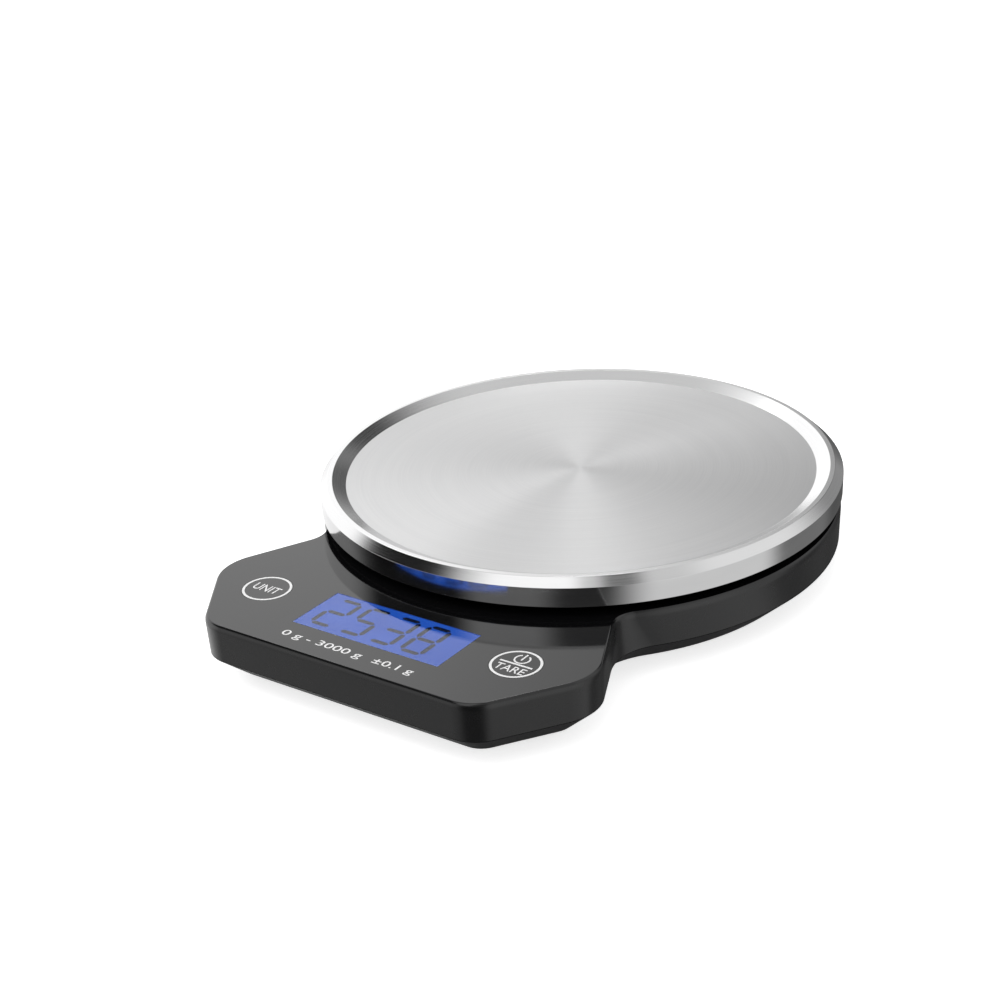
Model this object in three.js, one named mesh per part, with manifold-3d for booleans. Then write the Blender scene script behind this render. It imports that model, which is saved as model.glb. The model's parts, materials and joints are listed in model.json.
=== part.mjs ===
// Digital kitchen scale: a round stainless weighing plate over a glossy black base, whose front
// widens into a six sided panel with a display window and two round keys.
// Millimetres, +Z up, front towards -Y. Inside the model the plate's axis is x = y = 0.

import * as THREE from 'three';
import { mergeVertices } from 'three/addons/utils/BufferGeometryUtils.js';
import Module from 'manifold-3d';

const wasm = await Module();
wasm.setup();

// Weighing plate: thin sheet with a sunken disc, a raised rim, a bevel and a skirt
const PLATE_RADIUS = 80;
const SHEET = 0.8;
const BEVEL_WIDTH = 2.5;
const BEVEL_DROP = 2.33;
const RIM_WIDTH = 1.5;
const INNER_SLOPE_WIDTH = 4.1;
const DISC_DEPTH = 1.96;
const SKIRT_HEIGHT = 8.36;
const SKIRT_TAPER = 0.2;

// Base outline in plan: a drum under the plate and a panel with six corners in front of it
const DRUM_SETBACK = 0.65;
const FRONT_REACH = 121.5;
const FRONT_HALF_WIDTH = 46.5;
const WIDEST_HALF_WIDTH = 66.9;
const WIDEST_SETBACK = 29.9;
const WAIST_HALF_WIDTH = 51.7;
const FRONT_CORNER_RADIUS = 12;
const SIDE_CORNER_RADIUS = 15.3;
const WAIST_FILLET = 8;

// Base profile, from the table up
const FOOT_PROUD = 1.6;
const SOLE_HEIGHT = 7.4;
const SOLE_UNDERCUT = 9.2;
const WALL_HEIGHT = 11.6;
const WALL_DRAFT = 0.45;
const TOP_FILLET = 0.95;
const PLATE_GAP = 3.04;

// Mouldings
const WALL = 2;
const FIT = 0.3;
const SNUG = 0.15;
const LIP_HEIGHT = 2;
const OVERRUN = 1;

// Display, keys and circuit board
const DISPLAY_X = 1.15;
const DISPLAY_SETBACK = 22.8;
const WINDOW_LENGTH = 50.6;
const WINDOW_WIDTH = 19.8;
const GLASS_MARGIN = 1.9;
const GLASS_THICKNESS = 2.2;
const BACKLIGHT_THICKNESS = 3.4;
const FRAME_WALL = 1.2;
const FRAME_FLOOR = 1.8;
const FRAME_PORT_LENGTH = 36;
const FRAME_PORT_WIDTH = 8;
const KEY_GAP = 9.8;
const KEY_SETBACK = 24.6;
const KEY_RADIUS = 7.3;
const KEY_SEAM = 0.2;
const KEY_FLANGE = 1.3;
const KEY_FLANGE_THICKNESS = 1.1;
const KEY_STEM_RADIUS = 2;
const KEY_TRAVEL = 0.3;
const SWITCH_SIZE = 6;
const SWITCH_HEIGHT = 3.5;
const PLUNGER_RADIUS = 1.7;
const PLUNGER_PROUD = 1.5;
const PLUNGER_DEPTH = 0.7;
const BOARD_THICKNESS = 1.2;
const BOARD_END_MARGIN = 6.3;
const BOARD_BACK_SETBACK = 37.5;
const BOARD_FRONT_SETBACK = 11.5;
const BOARD_CORNER = 8.5;
const BOARD_POST_GAP = 0.6;
const BOARD_POST_INSET = 3;
const BOARD_POST_RADIUS = 2.6;
const CHIP_SIZE = 11;
const CHIP_HEIGHT = 1.6;
const CHIP_X = 8;
const SOCKET_LENGTH = 9;
const SOCKET_WIDTH = 5;
const SOCKET_HEIGHT = 3;
const SOCKET_INSET = 33;

// Load cell, a milled beam with a dumbbell shaped window
const CELL_BEAM_LENGTH = 60;
const CELL_BEAM_WIDTH = 12.7;
const CELL_BEAM_HEIGHT = 9;
const PEDESTAL_HEIGHT = 3;
const PEDESTAL_LENGTH = 17;
const PEDESTAL_MARGIN = 1.2;
const BEAM_BOLT_END = 3.6;
const BEAM_BOLT_PITCH = 8;
const BEAM_WINDOW_RADIUS = 3;
const BEAM_WINDOW_X = 5.5;
const BEAM_WINDOW_SLOT = 3;
const GAUGE_BOSS_GAP = 4;
const GAUGE_THICKNESS = 0.8;

// Platform carrier under the plate
const CARRIER_CLEARANCE = 0.8;
const CARRIER_PLATE = 2;
const CARRIER_DROP = 0.64;
const CARRIER_RIM = 2;
const CARRIER_RIB = 1.6;
const CARRIER_RIB_COUNT = 8;
const CARRIER_BOSS_RADIUS = 8.4;
const CARRIER_BOLT_GRIP = 5;
const BOSS_HOLE_CLEARANCE = 1.2;
const PAD_RADIUS = 5;
const PAD_HEIGHT = 0.5;
const PAD_INSET = 19.9;
const PAD_COUNT = 4;
const STOP_INSET = 19.35;
const STOP_RADIUS = 3;
const STOP_GAP = 0.6;

// Fasteners: radius and height of the head, radius and length of the shank
const HOUSING_SCREW = { head: 2.5, headHeight: 1.6, shank: 1.2, length: 9 };
const BOARD_SCREW = { head: 2.1, headHeight: 1.4, shank: 0.9, length: 5 };
const BEAM_BOLT = { head: 3.4, headHeight: 2.2, shank: 1.9, length: 8.5 };
const CARRIER_BOLT = { head: 3.4, headHeight: 2.2, shank: 1.9, length: 10 };
const CROSS_WIDTH = 0.7;
const CROSS_DEPTH = 0.8;
const CROSS_REACH_SHARE = 0.64;
const SCREW_SEAT = 1.2;
const SCREW_POST_RADIUS = 3.2;
const SCREW_CUP_RADIUS = 4.2;
const SCREW_GRIP = 2.2;
const SCREW_INSET = 17.35;
const SIDE_SCREW_ANGLE = Math.PI / 8.8;
const FRONT_SCREW_X = 42;
const FRONT_SCREW_SETBACK = 45.5;

// Batteries, two AAA cells side by side behind a door in the underside
const CELL_RADIUS = 5.25;
const CELL_LENGTH = 44.5;
const CELL_NUB_RADIUS = 1.9;
const CELL_NUB_LENGTH = 0.9;
const CELL_GAP = 0.6;
const SPRING_LENGTH = 5.2;
const SPRING_RADIUS = 3.6;
const SPRING_TIP_RADIUS = 2;
const CONTACT_THICKNESS = 0.4;
const CONTACT_HEIGHT = 8;
const CONTACT_WIDTH = 8;
const BAY_SCREW_GAP = 4.5;
const BAY_WALL = 1.4;
const DOOR_THICKNESS = 1.4;
const DOOR_LEDGE = 1.2;
const TAB_X = 16;
const TAB_WIDTH = 8;
const TAB_THICKNESS = 1.1;
const TAB_REACH = 2.4;
const TAB_RISER = 1.3;
const TAB_SLOT_RISE = 3.2;
const TONGUE_WIDTH = 10;
const TONGUE_LENGTH = 8;
const TONGUE_SLOT = 0.8;
const RIDGE_WIDTH = 1.2;
const RIDGE_PROUD = 0.5;
const FINGER_RADIUS = 7;
const FINGER_DEPTH = 1;

// Feet
const FOOT_RADIUS = 6;
const FOOT_SEAT = 0.8;
const FOOT_DOME = 0.5;
const REAR_FOOT_X = 42;
const REAR_FOOT_INSET = 17.06;
const FRONT_FOOT_X = 44;
const FRONT_FOOT_SETBACK = 26.5;

// Wiring
const WIRE_RADIUS = 0.7;
const CABLE_RADIUS = 1.2;
const WIRE_LIFT = 0.3;
const WIRE_SAG_ROOM = 0.7;

// Facets
const ROUND_SIDES = 24;
const SMALL_SIDES = 12;
const PLATE_SIDES = 64;
const DRUM_STEPS = 22;
const CORNER_STEPS = 6;
const FILLET_STEPS = 3;
const WIRE_SIDES = 8;
const WIRE_STEPS = 18;

// Heights worked out from the profile
const BASE_BOTTOM = FOOT_PROUD;
const PARTING = BASE_BOTTOM + SOLE_HEIGHT;
const BASE_TOP = PARTING + WALL_HEIGHT;
const SKIRT_BOTTOM = BASE_TOP + PLATE_GAP;
const PLATE_TOP = SKIRT_BOTTOM + SKIRT_HEIGHT;
const FLOOR_TOP = BASE_BOTTOM + WALL;
const CEILING = BASE_TOP - WALL;
const PLATE_UNDERSIDE = PLATE_TOP - DISC_DEPTH - SHEET;
const CARRIER_TOP = PLATE_UNDERSIDE - PAD_HEIGHT;
const CARRIER_BOTTOM = SKIRT_BOTTOM - CARRIER_DROP;
const BEAM_BOTTOM = FLOOR_TOP + PEDESTAL_HEIGHT;
const BEAM_TOP = BEAM_BOTTOM + CELL_BEAM_HEIGHT;
const GLASS_TOP = CEILING;
const BACKLIGHT_TOP = GLASS_TOP - GLASS_THICKNESS;
const FRAME_FLOOR_TOP = BACKLIGHT_TOP - BACKLIGHT_THICKNESS;
const BOARD_TOP = FRAME_FLOOR_TOP - FRAME_FLOOR;
const BOARD_BOTTOM = BOARD_TOP - BOARD_THICKNESS;
const DOOR_TOP = BASE_BOTTOM + DOOR_THICKNESS;
const CELL_BOTTOM = DOOR_TOP + FIT;
const CELL_AXIS_Z = CELL_BOTTOM + CELL_RADIUS;
const BAY_CEILING = CELL_BOTTOM + 2 * CELL_RADIUS + FIT;
const SCREW_CUP_TOP = BASE_BOTTOM + SCREW_SEAT + HOUSING_SCREW.headHeight + SCREW_GRIP;

// Radii that follow the plate and the drum
const RIM_OUTER_RADIUS = PLATE_RADIUS - BEVEL_WIDTH;
const RIM_INNER_RADIUS = RIM_OUTER_RADIUS - RIM_WIDTH;
const DISC_RADIUS = RIM_INNER_RADIUS - INNER_SLOPE_WIDTH;
const DRUM_RADIUS = PLATE_RADIUS - DRUM_SETBACK;
const PAD_CIRCLE = DISC_RADIUS - PAD_INSET;
const STOP_CIRCLE = DRUM_RADIUS - STOP_INSET;
const SCREW_CIRCLE = DRUM_RADIUS - SCREW_INSET;
const REAR_FOOT_Y = Math.sqrt((DRUM_RADIUS - REAR_FOOT_INSET) ** 2 - REAR_FOOT_X ** 2);

// Places worked out from the outline
const FRONT_Y = -FRONT_REACH;
const DISPLAY_Y = FRONT_Y + DISPLAY_SETBACK;
const KEY_X = DISPLAY_X + WINDOW_LENGTH / 2 + KEY_GAP + KEY_SEAM + KEY_RADIUS;
const KEY_Y = FRONT_Y + KEY_SETBACK;
const BOARD_HALF_LENGTH = KEY_X + BOARD_END_MARGIN;
const SOCKET_X = BOARD_HALF_LENGTH - SOCKET_INSET;
const FRAME_HALF_LENGTH = WINDOW_LENGTH / 2 + GLASS_MARGIN + FIT + FRAME_WALL;
const BOARD_POST_X = DISPLAY_X + FRAME_HALF_LENGTH + BOARD_POST_GAP + BOARD_POST_RADIUS;
const CENTRING_SHIFT = (FRONT_REACH - PLATE_RADIUS) / 2;

const MATERIALS = {
  glossBlack: new THREE.MeshStandardMaterial({ color: 0x17181a, roughness: 0.12, metalness: 0 }),
  mattBlack: new THREE.MeshStandardMaterial({ color: 0x1b1c1e, roughness: 0.55, metalness: 0 }),
  steel: new THREE.MeshStandardMaterial({ color: 0xc6c7c8, roughness: 0.28, metalness: 1 }),
  aluminium: new THREE.MeshStandardMaterial({ color: 0xb6b9bc, roughness: 0.42, metalness: 1 }),
  zinc: new THREE.MeshStandardMaterial({ color: 0x9fa2a5, roughness: 0.35, metalness: 1 }),
  clear: new THREE.MeshStandardMaterial({
    color: 0xdfe3ee,
    roughness: 0.05,
    metalness: 0,
    transparent: true,
    opacity: 0.35,
  }),
  displayGlass: new THREE.MeshStandardMaterial({ color: 0x7d8cd2, roughness: 0.2, metalness: 0 }),
  backlight: new THREE.MeshStandardMaterial({ color: 0xe6eaf6, roughness: 0.5, metalness: 0 }),
  board: new THREE.MeshStandardMaterial({ color: 0x1f5a36, roughness: 0.5, metalness: 0 }),
  ivory: new THREE.MeshStandardMaterial({ color: 0xe8e4d6, roughness: 0.5, metalness: 0 }),
  rubber: new THREE.MeshStandardMaterial({ color: 0x26272a, roughness: 0.85, metalness: 0 }),
  silicone: new THREE.MeshStandardMaterial({ color: 0xd9dadb, roughness: 0.7, metalness: 0 }),
  cellWrap: new THREE.MeshStandardMaterial({ color: 0x6f7f8d, roughness: 0.35, metalness: 0.2 }),
  redWire: new THREE.MeshStandardMaterial({ color: 0xb1302a, roughness: 0.5, metalness: 0 }),
  blackWire: new THREE.MeshStandardMaterial({ color: 0x222222, roughness: 0.5, metalness: 0 }),
  greyCable: new THREE.MeshStandardMaterial({ color: 0x8c8f93, roughness: 0.5, metalness: 0 }),
};

// Boolean work: geometry to solid and back

function toSolid(geometry) {
  const plain = geometry.clone();
  plain.deleteAttribute('normal');
  plain.deleteAttribute('uv');
  const joined = mergeVertices(plain);
  const index = joined.index.array;
  const triangles = [];
  for (let i = 0; i < index.length; i += 3) {
    const [a, b, c] = index.subarray(i, i + 3);
    if (a !== b && b !== c && c !== a) triangles.push(a, b, c);
  }
  const vertProperties = joined.attributes.position.array;
  const triVerts = new Uint32Array(triangles);
  return new wasm.Manifold(new wasm.Mesh({ numProp: 3, vertProperties, triVerts }));
}

function toGeometry(solid) {
  const mesh = solid.getMesh();
  const geometry = new THREE.BufferGeometry();
  geometry.setAttribute('position', new THREE.BufferAttribute(mesh.vertProperties, 3));
  geometry.setIndex(new THREE.BufferAttribute(mesh.triVerts, 1));
  geometry.computeVertexNormals();
  return geometry;
}

function join(first, ...others) {
  return others.reduce((solid, other) => solid.add(toSolid(other)), toSolid(first));
}

function cut(solid, ...tools) {
  return tools.reduce((left, tool) => left.subtract(toSolid(tool)), solid);
}

// Plain shapes, each given by the spans it fills

function block(x, y, z) {
  const geometry = new THREE.BoxGeometry(x[1] - x[0], y[1] - y[0], z[1] - z[0]);
  return geometry.translate((x[0] + x[1]) / 2, (y[0] + y[1]) / 2, (z[0] + z[1]) / 2);
}

function around(middle, length) {
  return [middle - length / 2, middle + length / 2];
}

function rod(radius, z, at = [0, 0], sides = ROUND_SIDES) {
  const geometry = new THREE.CylinderGeometry(radius, radius, z[1] - z[0], sides);
  geometry.rotateX(Math.PI / 2);
  return geometry.translate(at[0], at[1], (z[0] + z[1]) / 2);
}

// A closed profile of [radius, height] pairs, listed clockwise, turned about the vertical axis
function turned(profile, sides, at = [0, 0]) {
  const points = profile.map(([radius, height]) => new THREE.Vector2(radius, height));
  const geometry = new THREE.LatheGeometry(points, sides);
  geometry.rotateX(Math.PI / 2);
  return geometry.translate(at[0], at[1], 0);
}

// A solid through level rings of equal count, listed from the top down, each counterclockwise
function lofted(rings) {
  const count = rings[0].length;
  const positions = rings.flat().flatMap((point) => [point.x, point.y, point.z]);
  const index = [];
  for (let level = 0; level + 1 < rings.length; level += 1) {
    for (let i = 0; i < count; i += 1) {
      const next = (i + 1) % count;
      const upperLeft = level * count + i;
      const upperRight = level * count + next;
      const lowerLeft = upperLeft + count;
      const lowerRight = upperRight + count;
      index.push(lowerLeft, lowerRight, upperRight, lowerLeft, upperRight, upperLeft);
    }
  }
  const lastRing = (rings.length - 1) * count;
  for (const [a, b, c] of THREE.ShapeUtils.triangulateShape(rings[0], [])) {
    index.push(a, b, c);
  }
  for (const [a, b, c] of THREE.ShapeUtils.triangulateShape(rings.at(-1), [])) {
    index.push(lastRing + c, lastRing + b, lastRing + a);
  }
  const geometry = new THREE.BufferGeometry();
  geometry.setAttribute('position', new THREE.Float32BufferAttribute(positions, 3));
  geometry.setIndex(index);
  return geometry;
}

// A screw that points up, its head's underside at the seat height
function screw({ head, headHeight, shank, length }, seat, at) {
  const body = turned(
    [
      [0, seat - headHeight],
      [head, seat - headHeight],
      [head, seat],
      [shank, seat],
      [shank, seat + length],
      [0, seat + length],
    ],
    SMALL_SIDES,
    at,
  );
  const recess = [seat - headHeight - OVERRUN, seat - headHeight + CROSS_DEPTH];
  const reach = 2 * head * CROSS_REACH_SHARE;
  return cut(
    toSolid(body),
    block(around(at[0], reach), around(at[1], CROSS_WIDTH), recess),
    block(around(at[0], CROSS_WIDTH), around(at[1], reach), recess),
  );
}

// The same screw turned over to point down
function screwDown(size, seat, at) {
  return screw(size, 0, [0, 0]).rotate([180, 0, 0]).translate([at[0], at[1], seat]);
}

// Plan of the base

function edgeBetween(from, to) {
  const angle = Math.atan2(from.x - to.x, to.y - from.y);
  const normal = new THREE.Vector2(Math.cos(angle), Math.sin(angle));
  return { angle, normal, distance: normal.dot(to) };
}

// Centre of a round that touches two edges from inside
function cornerCentre(first, second, radius) {
  const a = first.distance - radius;
  const b = second.distance - radius;
  const cross = first.normal.cross(second.normal);
  return new THREE.Vector2(
    (a * second.normal.y - b * first.normal.y) / cross,
    (b * first.normal.x - a * second.normal.x) / cross,
  );
}

function arc(centre, radius, from, to, steps) {
  return Array.from({ length: steps + 1 }, (_, i) => {
    const angle = from + ((to - from) * i) / steps;
    return new THREE.Vector2(
      centre.x + radius * Math.cos(angle),
      centre.y + radius * Math.sin(angle),
    );
  });
}

const waistCorner = new THREE.Vector2(
  WAIST_HALF_WIDTH,
  -Math.sqrt(DRUM_RADIUS ** 2 - WAIST_HALF_WIDTH ** 2),
);
const frontCorner = new THREE.Vector2(FRONT_HALF_WIDTH, FRONT_Y);
const sideCorner = new THREE.Vector2(WIDEST_HALF_WIDTH, FRONT_Y + WIDEST_SETBACK);
const frontEdge = edgeBetween(new THREE.Vector2(0, FRONT_Y), frontCorner);
const slantEdge = edgeBetween(frontCorner, sideCorner);
const waistEdge = edgeBetween(sideCorner, waistCorner);
const waistReach = Math.sqrt(
  (DRUM_RADIUS + WAIST_FILLET) ** 2 - (waistEdge.distance + WAIST_FILLET) ** 2,
);
const waistCentre = new THREE.Vector2(
  waistEdge.normal.x * (waistEdge.distance + WAIST_FILLET) + waistEdge.normal.y * waistReach,
  waistEdge.normal.y * (waistEdge.distance + WAIST_FILLET) - waistEdge.normal.x * waistReach,
);
const frontCentre = cornerCentre(frontEdge, slantEdge, FRONT_CORNER_RADIUS);
const sideCentre = cornerCentre(slantEdge, waistEdge, SIDE_CORNER_RADIUS);

// The outline moved inwards by an inset, as one level ring
function baseRing(inset, height) {
  const { angle: frontAngle } = frontEdge;
  const { angle: slantAngle } = slantEdge;
  const { angle: waistAngle } = waistEdge;
  const drumAngle = waistCentre.angle() - 2 * Math.PI;
  const frontRadius = FRONT_CORNER_RADIUS - inset;
  const sideRadius = SIDE_CORNER_RADIUS - inset;
  const right = [
    ...arc(frontCentre, frontRadius, frontAngle, slantAngle, CORNER_STEPS),
    ...arc(sideCentre, sideRadius, slantAngle, waistAngle, CORNER_STEPS),
    ...arc(waistCentre, WAIST_FILLET + inset, waistAngle + Math.PI, drumAngle + Math.PI, CORNER_STEPS),
    ...arc(new THREE.Vector2(), DRUM_RADIUS - inset, drumAngle, Math.PI / 2, DRUM_STEPS).slice(1),
  ];
  const left = right.slice(0, -1).reverse().map((point) => new THREE.Vector2(-point.x, point.y));
  return [...right, ...left].map((point) => new THREE.Vector3(point.x, point.y, height));
}

// Places of the repeated pieces

const screwPlaces = [
  [0, SCREW_CIRCLE],
  [SCREW_CIRCLE * Math.cos(SIDE_SCREW_ANGLE), SCREW_CIRCLE * Math.sin(SIDE_SCREW_ANGLE)],
  [-SCREW_CIRCLE * Math.cos(SIDE_SCREW_ANGLE), SCREW_CIRCLE * Math.sin(SIDE_SCREW_ANGLE)],
  [FRONT_SCREW_X, FRONT_Y + FRONT_SCREW_SETBACK],
  [-FRONT_SCREW_X, FRONT_Y + FRONT_SCREW_SETBACK],
  [0, FRONT_Y + FRONT_SCREW_SETBACK],
];
const boardFrontPostY = FRONT_Y + BOARD_FRONT_SETBACK + BOARD_POST_INSET;
const boardBackPostY = FRONT_Y + BOARD_BACK_SETBACK - BOARD_POST_INSET;
const boardPostPlaces = [
  [BOARD_POST_X, boardFrontPostY],
  [-BOARD_POST_X, boardFrontPostY],
  [BOARD_POST_X, boardBackPostY],
  [-BOARD_POST_X, boardBackPostY],
];
const footPlaces = [
  [REAR_FOOT_X, REAR_FOOT_Y],
  [-REAR_FOOT_X, REAR_FOOT_Y],
  [FRONT_FOOT_X, FRONT_Y + FRONT_FOOT_SETBACK],
  [-FRONT_FOOT_X, FRONT_Y + FRONT_FOOT_SETBACK],
];
const beamBoltX = CELL_BEAM_LENGTH / 2 - BEAM_BOLT_END;
const fixedBoltPlaces = [
  [-beamBoltX, 0],
  [-beamBoltX + BEAM_BOLT_PITCH, 0],
];
const freeBoltPlaces = [
  [beamBoltX, 0],
  [beamBoltX - BEAM_BOLT_PITCH, 0],
];
const bossPlace = [beamBoltX - BEAM_BOLT_PITCH / 2, 0];
const gaugeLength = 2 * (bossPlace[0] - CARRIER_BOSS_RADIUS - GAUGE_BOSS_GAP);
const keyPlaces = { unit: [-KEY_X, KEY_Y], tare: [KEY_X, KEY_Y] };

function onCircle(radius, count, index) {
  const angle = (2 * Math.PI * (index + 0.5)) / count;
  return [radius * Math.cos(angle), radius * Math.sin(angle)];
}

// Base shells

function upperShell() {
  const fillet = Array.from({ length: FILLET_STEPS + 1 }, (_, i) => {
    const angle = (Math.PI / 2) * (i / FILLET_STEPS);
    const inset = TOP_FILLET * (1 - Math.sin(angle));
    return baseRing(inset, BASE_TOP - TOP_FILLET * (1 - Math.cos(angle)));
  });
  const outside = lofted([...fillet, baseRing(WALL_DRAFT, PARTING)]);
  const inside = lofted([
    baseRing(WALL, CEILING),
    baseRing(WALL_DRAFT + WALL, PARTING),
    baseRing(WALL_DRAFT + WALL, PARTING - OVERRUN),
  ]);
  const posts = screwPlaces.map((at) =>
    rod(SCREW_POST_RADIUS, [SCREW_CUP_TOP, CEILING + OVERRUN], at, SMALL_SIDES),
  );
  const boardPosts = boardPostPlaces.map((at) =>
    rod(BOARD_POST_RADIUS, [BOARD_TOP, CEILING + OVERRUN], at, SMALL_SIDES),
  );
  const stopTop = CARRIER_BOTTOM - STOP_GAP;
  const stops = Array.from({ length: PAD_COUNT }, (_, i) =>
    rod(STOP_RADIUS, [BASE_TOP - OVERRUN, stopTop], onCircle(STOP_CIRCLE, PAD_COUNT, i), SMALL_SIDES),
  );
  const walled = posts.concat(boardPosts, stops).reduce(
    (solid, post) => solid.add(toSolid(post)),
    cut(toSolid(outside), inside),
  );
  const pilots = screwPlaces.map((at) =>
    rod(
      HOUSING_SCREW.shank + SNUG,
      [SCREW_CUP_TOP - OVERRUN, SCREW_CUP_TOP - SCREW_GRIP + HOUSING_SCREW.length + OVERRUN],
      at,
      SMALL_SIDES,
    ),
  );
  const boardPilots = boardPostPlaces.map((at) =>
    rod(
      BOARD_SCREW.shank + SNUG,
      [BOARD_TOP - OVERRUN, BOARD_BOTTOM + BOARD_SCREW.length + OVERRUN],
      at,
      SMALL_SIDES,
    ),
  );
  const through = [CEILING - OVERRUN, BASE_TOP + OVERRUN];
  const keyHoles = Object.values(keyPlaces).map((at) => rod(KEY_RADIUS + KEY_SEAM, through, at));
  return cut(
    walled,
    ...pilots,
    ...boardPilots,
    ...keyHoles,
    rod(CARRIER_BOSS_RADIUS + BOSS_HOLE_CLEARANCE, through, bossPlace),
    block(around(DISPLAY_X, WINDOW_LENGTH), around(DISPLAY_Y, WINDOW_WIDTH), through),
  );
}

const bayLength = CELL_LENGTH + SPRING_LENGTH + 2 * CONTACT_THICKNESS;
const bayWidth = 4 * CELL_RADIUS + 3 * CELL_GAP;
const doorOpeningLength = bayLength + 2 * DOOR_LEDGE;
const doorOpeningWidth = bayWidth + 2 * DOOR_LEDGE;
const doorHingeY = SCREW_CIRCLE - SCREW_CUP_RADIUS - BAY_SCREW_GAP - FIT - TAB_REACH;
const bayY = doorHingeY - doorOpeningWidth / 2;
const doorFrontY = bayY - doorOpeningWidth / 2;

function lowerShell() {
  const slope = Math.hypot(SOLE_UNDERCUT, SOLE_HEIGHT);
  const land = WALL_DRAFT + (WALL * slope) / SOLE_HEIGHT;
  const floorInset = land + (SOLE_UNDERCUT * (PARTING - FLOOR_TOP)) / SOLE_HEIGHT;
  const lipInset = WALL_DRAFT + WALL + FIT;
  const lipTop = PARTING + LIP_HEIGHT;
  const outside = lofted([
    baseRing(WALL_DRAFT, PARTING),
    baseRing(WALL_DRAFT + SOLE_UNDERCUT, BASE_BOTTOM),
  ]);
  const lip = lofted([baseRing(lipInset, lipTop), baseRing(lipInset, PARTING - OVERRUN)]);
  const inside = lofted([
    baseRing(land, lipTop + OVERRUN),
    baseRing(land, PARTING),
    baseRing(floorInset, FLOOR_TOP),
  ]);
  const cups = screwPlaces.map((at) =>
    rod(SCREW_CUP_RADIUS, [BASE_BOTTOM + OVERRUN, SCREW_CUP_TOP], at, ROUND_SIDES),
  );
  const pedestal = block(
    around(-(CELL_BEAM_LENGTH - PEDESTAL_LENGTH) / 2, PEDESTAL_LENGTH + 2 * PEDESTAL_MARGIN),
    around(0, CELL_BEAM_WIDTH + 2 * PEDESTAL_MARGIN),
    [BASE_BOTTOM + OVERRUN, BEAM_BOTTOM],
  );
  const bay = block(
    around(0, bayLength + 2 * BAY_WALL),
    around(bayY, bayWidth + 2 * BAY_WALL),
    [BASE_BOTTOM + OVERRUN, BAY_CEILING + BAY_WALL],
  );
  const tray = cut(join(outside, lip), inside);
  const walled = [...cups, pedestal, bay].reduce((solid, piece) => solid.add(toSolid(piece)), tray);
  const below = BASE_BOTTOM - OVERRUN;
  const screwPockets = screwPlaces.flatMap((at) => [
    rod(HOUSING_SCREW.head + FIT, [below, SCREW_CUP_TOP - SCREW_GRIP], at, ROUND_SIDES),
    rod(HOUSING_SCREW.shank + FIT, [below, SCREW_CUP_TOP + OVERRUN], at, SMALL_SIDES),
  ]);
  const boltPockets = fixedBoltPlaces.flatMap((at) => [
    rod(BEAM_BOLT.head + FIT, [below, BASE_BOTTOM + BEAM_BOLT.headHeight + FIT], at, ROUND_SIDES),
    rod(BEAM_BOLT.shank + FIT, [below, BEAM_BOTTOM + OVERRUN], at, SMALL_SIDES),
  ]);
  const footSeats = footPlaces.map((at) =>
    rod(FOOT_RADIUS + FIT, [below, BASE_BOTTOM + FOOT_SEAT], at, ROUND_SIDES),
  );
  const tabSlots = [-TAB_X, TAB_X].map((x) =>
    block(
      around(x, TAB_WIDTH + 2 * FIT),
      [doorHingeY - DOOR_LEDGE - OVERRUN, doorHingeY + TAB_REACH + FIT],
      [FLOOR_TOP, FLOOR_TOP + TAB_SLOT_RISE],
    ),
  );
  const tabPockets = [-TAB_X, TAB_X].map((x) =>
    block(
      around(x, TAB_WIDTH + 2 * FIT),
      [doorHingeY - DOOR_LEDGE - OVERRUN, doorHingeY],
      [DOOR_TOP - FIT, FLOOR_TOP + FIT],
    ),
  );
  const wireHoles = cellRows.map((y) =>
    rod(2 * WIRE_RADIUS, around(0, 2 * OVERRUN + 2 * BAY_WALL), [0, 0], WIRE_SIDES)
      .rotateY(Math.PI / 2)
      .translate(bayLength / 2 + BAY_WALL / 2, y, CELL_AXIS_Z),
  );
  return cut(
    walled,
    block(around(0, bayLength), around(bayY, bayWidth), [below, BAY_CEILING]),
    block(around(0, doorOpeningLength), around(bayY, doorOpeningWidth), [below, DOOR_TOP]),
    rod(FINGER_RADIUS, [below, BASE_BOTTOM + FINGER_DEPTH], [0, doorFrontY]),
    ...screwPockets,
    ...boltPockets,
    ...footSeats,
    ...tabSlots,
    ...tabPockets,
    ...wireHoles,
  );
}

// Battery bay

const cellRows = [
  bayY - CELL_RADIUS - CELL_GAP / 2,
  bayY + CELL_RADIUS + CELL_GAP / 2,
];

function batteryDoor() {
  const panel = block(
    around(0, doorOpeningLength - 2 * FIT),
    around(bayY, doorOpeningWidth - 2 * FIT),
    [BASE_BOTTOM, DOOR_TOP],
  );
  const tabBottom = FLOOR_TOP + FIT;
  const riserY = [doorHingeY - DOOR_LEDGE - TAB_RISER, doorHingeY - DOOR_LEDGE];
  const tabs = [-TAB_X, TAB_X].flatMap((x) => [
    block(around(x, TAB_WIDTH), riserY, [DOOR_TOP - TAB_THICKNESS / 2, tabBottom + TAB_THICKNESS]),
    block(
      around(x, TAB_WIDTH),
      [riserY[0], doorHingeY + TAB_REACH],
      [tabBottom, tabBottom + TAB_THICKNESS],
    ),
  ]);
  const slotY = [doorFrontY - OVERRUN, doorFrontY + FIT + TONGUE_LENGTH];
  const slots = [-1, 1].map((side) =>
    block(
      around((side * (TONGUE_WIDTH + TONGUE_SLOT)) / 2, TONGUE_SLOT),
      slotY,
      [BASE_BOTTOM - OVERRUN, DOOR_TOP + OVERRUN],
    ),
  );
  const ridge = block(
    around(0, TONGUE_WIDTH),
    [doorFrontY + 2 * RIDGE_WIDTH, doorFrontY + 3 * RIDGE_WIDTH],
    [BASE_BOTTOM - RIDGE_PROUD, BASE_BOTTOM + RIDGE_PROUD],
  );
  return cut(join(panel, ridge, ...tabs), ...slots);
}

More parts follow.
